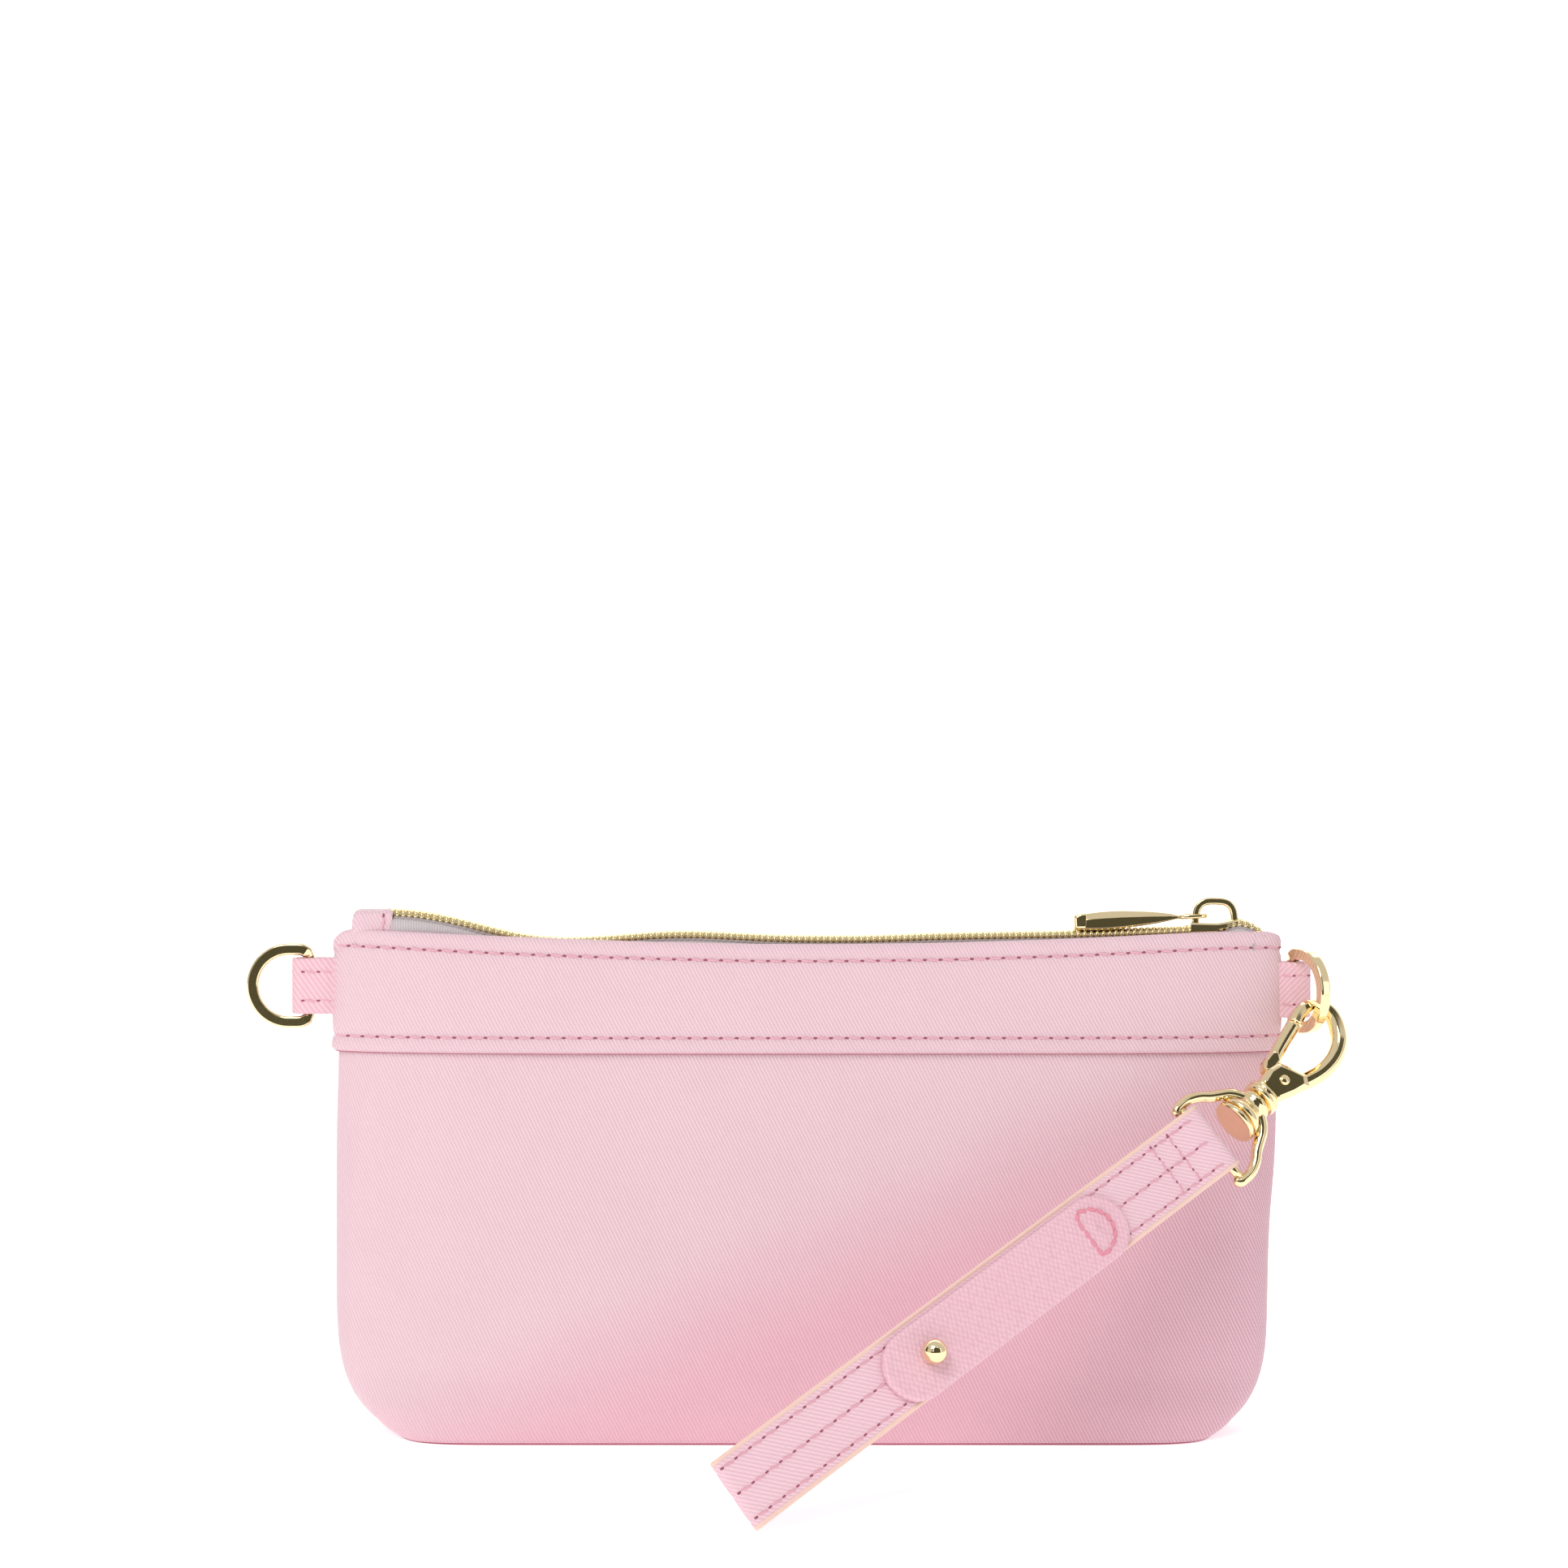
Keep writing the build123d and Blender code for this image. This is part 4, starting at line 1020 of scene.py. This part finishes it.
def gate():
    """Sprung bar that closes the hook, with its thumb lug."""
    points = [(24.4, 3.3), (27.0, 4.7), (30.2, 5.7), (33.2, 6.5), (35.7, 7.15)]
    path = smooth_path([clasp(p, q) for p, q in points], 5)
    swept("gate_bar", path, facet_section(3.1, 3.7, 0.95, 0.16), clasp_n, gold, "gate", ["clasp_gate"],
          size=lambda t: (0.92 + 0.1 * t, 0.95 + 0.05 * t))
    outline = [(21.6, 4.2), (23.0, 2.6), (26.6, 3.2), (28.0, 5.2), (26.6, 6.1), (23.2, 5.6)]
    solid_plate("gate_lug", outline, 1.9, 1.2, 0.8, (24.5, 4.4), "gate", 0.25)


def repaint(node_name, material):
    """New material for a CAD node that has no visual piece of its own."""
    slots = frame["nodes"][node_name].data.materials
    slots.clear()
    slots.append(material)


clasp_base()
swivel()
hook()
rivet()
gate()
repaint("gate_spring", steel)

# ---------------------------------------------------------------- wrist strap
strap_w = Vector(joints["keeper_lift"]["axis"])
strap_n = clasp_n
strap_u = strap_w.cross(strap_n)
strap_origin = clasp_origin + strap_w * 0.9
REACH = 133.0
SKIN = 1.3
GAP = 0.25
HALF_CLOTH = 7.35
STRAP_ROWS = (-5.8, 0.0, 5.8)
FOLD = 12              # length over which the two layers open towards the bar
BAR_ROOM = 1.75        # half the space for the bar inside the fold


def strap(s, q, h=0.0):
    """Point along, across and out of the strap, from the middle of the clasp bar."""
    return strap_origin + strap_u * s + strap_w * q + strap_n * h


def strap_spine(skin):
    """Closed side view of the loop at one skin depth, as (along, out) pairs."""
    steps = 10
    bar = BAR_ROOM + skin
    half = GAP + skin
    far = REACH - GAP - SKIN
    fold = [(0.75 * a, b) for a, b in arc(bar, 90, -90, steps)]
    under = [(-FOLD * k / 6, -(bar + (half - bar) * ease(k / 6))) for k in range(1, 7)]
    under += [(-FOLD - (far - FOLD) * k / 30, -half) for k in range(1, 30)]
    end = [(a - far, b) for a, b in arc(half, -90, -270, steps)]
    over = [(s, -h) for s, h in reversed(under)]
    side_view = fold + under + end + over
    hidden_join = steps + 20
    return side_view[hidden_join:] + side_view[:hidden_join]


def puff(q):
    """Rise of the face across the strap: pulled down at the stitch rows and the edges."""
    dip = sum(0.16 * math.exp(-((q - row) / 0.55) ** 2) for row in STRAP_ROWS)
    edge = 0.35 * max(0.0, (abs(q) - 6.6) / 0.75) ** 2
    return 0.06 - dip - edge


def strap_loop():
    """Twill face, backing and painted edges, as bands round the loop."""
    across = [share * HALF_CLOTH for share in shares(28)]
    outer = strap_spine(SKIN)
    round_trip = outer + [outer[0]]
    verts, uvs = [], []
    for i, (run, (s, h)) in enumerate(zip(distances(round_trip), round_trip)):
        before = outer[(i - 1) % len(outer)]
        after = outer[(i + 1) % len(outer)]
        direction = Vector((after[0] - before[0], after[1] - before[1])).normalized()
        for q in across:
            verts.append(strap(s - direction.y * puff(q), q, h + direction.x * puff(q)))
            uvs.append((run, q))
    faces = grid(verts, len(across))
    face = mesh_piece("strap_twill_face", verts, faces, uvs, strap_twill, "strap", ["strap_face"])
    add_wall(recalc(face), 0.5)

    edges = (-HALF_CLOTH, HALF_CLOTH)
    verts, uvs = [], []
    for i, (s, h) in enumerate(strap_spine(0.0)):
        verts += [strap(s, q, h) for q in edges]
        uvs += [(i * 2.0, q) for q in edges]
    faces = grid(verts, 2, closed_along=True)
    add_wall(mesh_piece("strap_backing_cloth", verts, faces, uvs, lining, "strap", ["strap_backing"]), 0.3)

    section = [(0.66 * power_curve(c, 0.6), 0.55 * s) for c, s in circle(1.0, 12)]
    for sign, word in ((1, "upper"), (-1, "lower")):
        path = [strap(s, sign * 7.45, h) for s, h in strap_spine(SKIN / 2)]
        swept("edge_bead_" + word, path, section, strap_w, edge_paint, "strap",
              ["strap_edge_" + word], closed=True)


def strap_stitches():
    """Three rows on each face and a crossed box near the clasp."""
    for face_side, word in ((1, "front"), (-1, "back")):
        def on_face(s, q, lift=0.0, face_side=face_side):
            fold_rise = 1.5 * ease(max(0.0, (FOLD - s) / FOLD))
            out = face_side * (GAP + SKIN - 0.06 + fold_rise + lift)
            return strap(-s, q, out), strap_n * face_side

        for q, row in zip(STRAP_ROWS, ("lower", "middle", "upper")):
            stitch_row("strap_stitch_" + word + "_" + row, lambda s, q=q, at=on_face: at(1.2 + s, q),
                       REACH - 2.4, strap_thread, "strap", pitch=3.45)
        for along, row in ((8.2, "near"), (13.0, "far")):
            stitch_row("strap_cross_" + word + "_" + row,
                       lambda s, along=along, at=on_face: at(along, s - 6.1, lift=0.1),
                       12.2, strap_thread, "strap", pitch=2.9)


strap_loop()
strap_stitches()

# ---------------------------------------------------------------- keeper tab and stud
KEEPER_HIGH = -28.0
KEEPER_LOW = -93.8
KEEPER_HALF = 7.3
KEEPER_ASIDE = -0.9
KEEPER_BASE = GAP + SKIN + 0.12
KEEPER_TOP = GAP + SKIN + 2.05
BEND_FROM = -38.4      # straight row of the stitched D on the keeper
STUD_AT = -82.6
BALL = 2.6


def keeper_dip(s):
    """How far the stitched end of the keeper is pulled down."""
    return 0.5 * max(0.0, 1 - (KEEPER_HIGH - s) / 14) ** 2


def keeper():
    """Thick soft tab with round ends, bending at its stitched end."""
    middle = (KEEPER_HIGH + KEEPER_LOW) / 2
    straight = (KEEPER_HIGH - KEEPER_LOW) / 2 - KEEPER_HALF
    edge = []
    for way, start in ((1, -90), (-1, 90)):
        edge += [(middle + way * straight + a, b) for a, b in arc(KEEPER_HALF, start, start + 180, 40)]
        edge += [(middle + way * straight * (1 - 2 * k / 40), way * KEEPER_HALF) for k in range(1, 40)]
    low, top = KEEPER_BASE, KEEPER_TOP
    # From the middle of the underside round the edge to the middle of the top: height, inset.
    levels = [(low, KEEPER_HALF), (low, 3.0), (low, 0.35), (low + 0.25, 0.05), (low + 0.9, 0.0),
              (top - 0.6, 0.04), (top - 0.2, 0.3), (top - 0.02, 0.8), (top, 1.2), (top - 0.1, 1.7),
              (top - 0.12, 2.6), (top - 0.1, 4.4), (top - 0.08, 6.2), (top - 0.08, KEEPER_HALF)]
    verts, uvs = [], []
    for height, inset in levels:
        for s, q in edge:
            spine = max(middle - straight, min(middle + straight, s))
            away = Vector((s - spine, q)) * ((KEEPER_HALF - inset) / KEEPER_HALF)
            verts.append(strap(spine + away.x, KEEPER_ASIDE + away.y, height - keeper_dip(s)))
            uvs.append((spine + away.x, away.y))
    faces = grid(verts, len(edge), closed_across=True)
    piece = recalc(mesh_piece("keeper_leather", verts, faces, uvs, leather, None))
    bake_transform(piece)
    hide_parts("keeper_anchor", "keeper_tab")


def keeper_stitches():
    """D of thick thread: a straight row and a bow."""
    half = 5.2
    bow = 1.12 * half

    def at(s):
        along, q = BEND_FROM, s - half
        if s >= 2 * half:
            angle = (s - 2 * half) / bow
            along, q = BEND_FROM + 6.6 * math.sin(angle) ** 0.85, half * math.cos(angle)
        return strap(along, KEEPER_ASIDE + q, KEEPER_TOP - 0.1 - keeper_dip(along)), strap_n
    stitch_row("keeper_stitch", at, 2 * half + math.pi * bow - 0.05, keeper_thread, "strap",
               pitch=2.1, radius=0.41, slant=0.16, reach=0.5, holes=False)


def stud():
    """Ball stud with a short neck."""
    around = 32
    profile = [(GAP, 0.9), (KEEPER_TOP - 0.2, 0.9), (KEEPER_TOP + 0.15, 1.25)]
    profile += [(KEEPER_TOP + 2.2 + rise, max(0.02, radius)) for radius, rise in arc(BALL, -60, 90, 20)]
    verts = []
    for height, radius in profile:
        verts += [strap(STUD_AT + c, KEEPER_ASIDE + s, height) for c, s in circle(radius, around)]
    ring_piece("stud_gold", verts, around, gold, "strap", ["stud_ball"])


keeper()
keeper_stitches()
stud()
repaint("stud_base", gold)


# ---------------------------------------------------------------- stage, light, camera
def stage_mesh(name, verts, faces, material):
    """Mesh of the stage, in metres, that isn't part of the object."""
    mesh = bpy.data.meshes.new(name)
    mesh.from_pydata(verts, [], faces)
    mesh.materials.append(material)
    made = new_object(name, mesh)
    return made


def sweep():
    """White floor that lights the object from below, and a wall that doesn't light its back."""
    white = plain_material("floor_white", (0.96, 0.96, 0.96), 0.8, specular=0.0, strength=0.42)
    rise = [Vector((0, y, z)) for y, z in ((1.4, 0.0), (1.75, 0.07), (2.0, 0.3), (2.1, 0.7), (2.1, 4.5))]
    path = smooth_path(rise, 6)
    for name, line in (("floor", [Vector((0, -5, 0)), path[0]]), ("wall", path)):
        verts = [Vector((x, p.y, max(0.0, p.z))) for p in line for x in (-5, 5)]
        sheet = stage_mesh(name, verts, grid(verts, 2), white)
        sheet.data.polygons.foreach_set("use_smooth", [True] * len(sheet.data.polygons))
        sheet.visible_diffuse = name == "floor"


def reflected_cards():
    """Dark and bright rectangles that only the metal shows: place, turn, width, height."""
    shade = (0.085, 0.085, 0.060)
    dark = plain_material("card_dark", (0, 0, 0), 1.0, specular=0.0, glow=shade, strength=1.0)
    bright = plain_material("card_bright", (0, 0, 0), 1.0, specular=0.0, strength=1.5)
    for name, place, turn, wide, tall, material in (
        ("camera_card", (0.35, -1.10, 0.72), (90, 0, 0), 2.0, 1.7, dark),
        ("strip_left", (-0.30, -1.00, 0.60), (90, 0, 0), 0.14, 0.9, bright),
        ("strip_right", (1.20, -0.85, 0.50), (90, 0, 50), 0.22, 1.0, bright),
        ("strip_high", (0.30, -0.95, 1.15), (60, 0, 0), 1.1, 0.12, bright),
        ("side_dark", (-1.25, -0.10, 0.45), (90, 0, -90), 0.5, 0.8, dark),
        ("low_card", (-0.33, -0.72, 0.075), (90, 0, 0), 0.4, 0.14, dark),
    ):
        corners = [(x * wide / 2, y * tall / 2, 0) for x, y in ((-1, -1), (1, -1), (1, 1), (-1, 1))]
        card = stage_mesh(name, corners, [(0, 1, 2, 3)], material)
        card.location = place
        card.rotation_euler = [math.radians(angle) for angle in turn]
        card.visible_camera = card.visible_shadow = card.visible_diffuse = False


def white_dome():
    """White background that only the camera sees."""
    around = 72
    verts = [(x, y, up) for out, up in arc(4.8, 0, 90, 15) for x, y in circle(out, around)]
    glow = plain_material("dome_white", (0, 0, 0), 1.0, specular=0.0, strength=1.0)
    dome = stage_mesh("white_dome", verts, grid(verts, around, closed_across=True), glow)
    dome.visible_diffuse = dome.visible_glossy = dome.visible_shadow = False


def area_light(name, place, target, size, power):
    """Rectangular lamp that points at a target."""
    light = bpy.data.lights.new(name, "AREA")
    light.shape = "RECTANGLE"
    light.size, light.size_y = size
    light.energy = power
    lamp = new_object(name, light)
    lamp.location = place
    lamp.rotation_euler = (Vector(target) - Vector(place)).to_track_quat("-Z", "Y").to_euler()


def lights():
    """Even white world, soft key from the upper left, and a wash on the wall."""
    world = bpy.data.worlds.new("studio")
    bpy.context.scene.world = world
    world.use_nodes = True
    background = world.node_tree.nodes["Background"]
    background.inputs["Color"].default_value = (1, 1, 1, 1)
    background.inputs["Strength"].default_value = 0.68
    area_light("key", (-0.40, -0.85, 1.05), (0, 0, 0.05), (0.6, 0.6), 6.6)
    area_light("back_wash", (0, 1.2, 1.8), (0, 2.1, 0.5), (2.4, 0.8), 18.0)


def camera():
    """Level camera 0.6 m in front, above the pouch's top."""
    camera_data = bpy.data.cameras.new("camera")
    camera_data.sensor_width = 36
    camera_data.lens = 59.78
    camera_data.clip_start = 0.01
    view = new_object("camera", camera_data)
    view.location = (-0.0053, -0.600, 0.1485)
    view.rotation_euler = (math.radians(90), 0, 0)
    bpy.context.scene.camera = view
    bpy.context.scene.view_settings.view_transform = "Standard"


sweep()
reflected_cards()
white_dome()
lights()
camera()
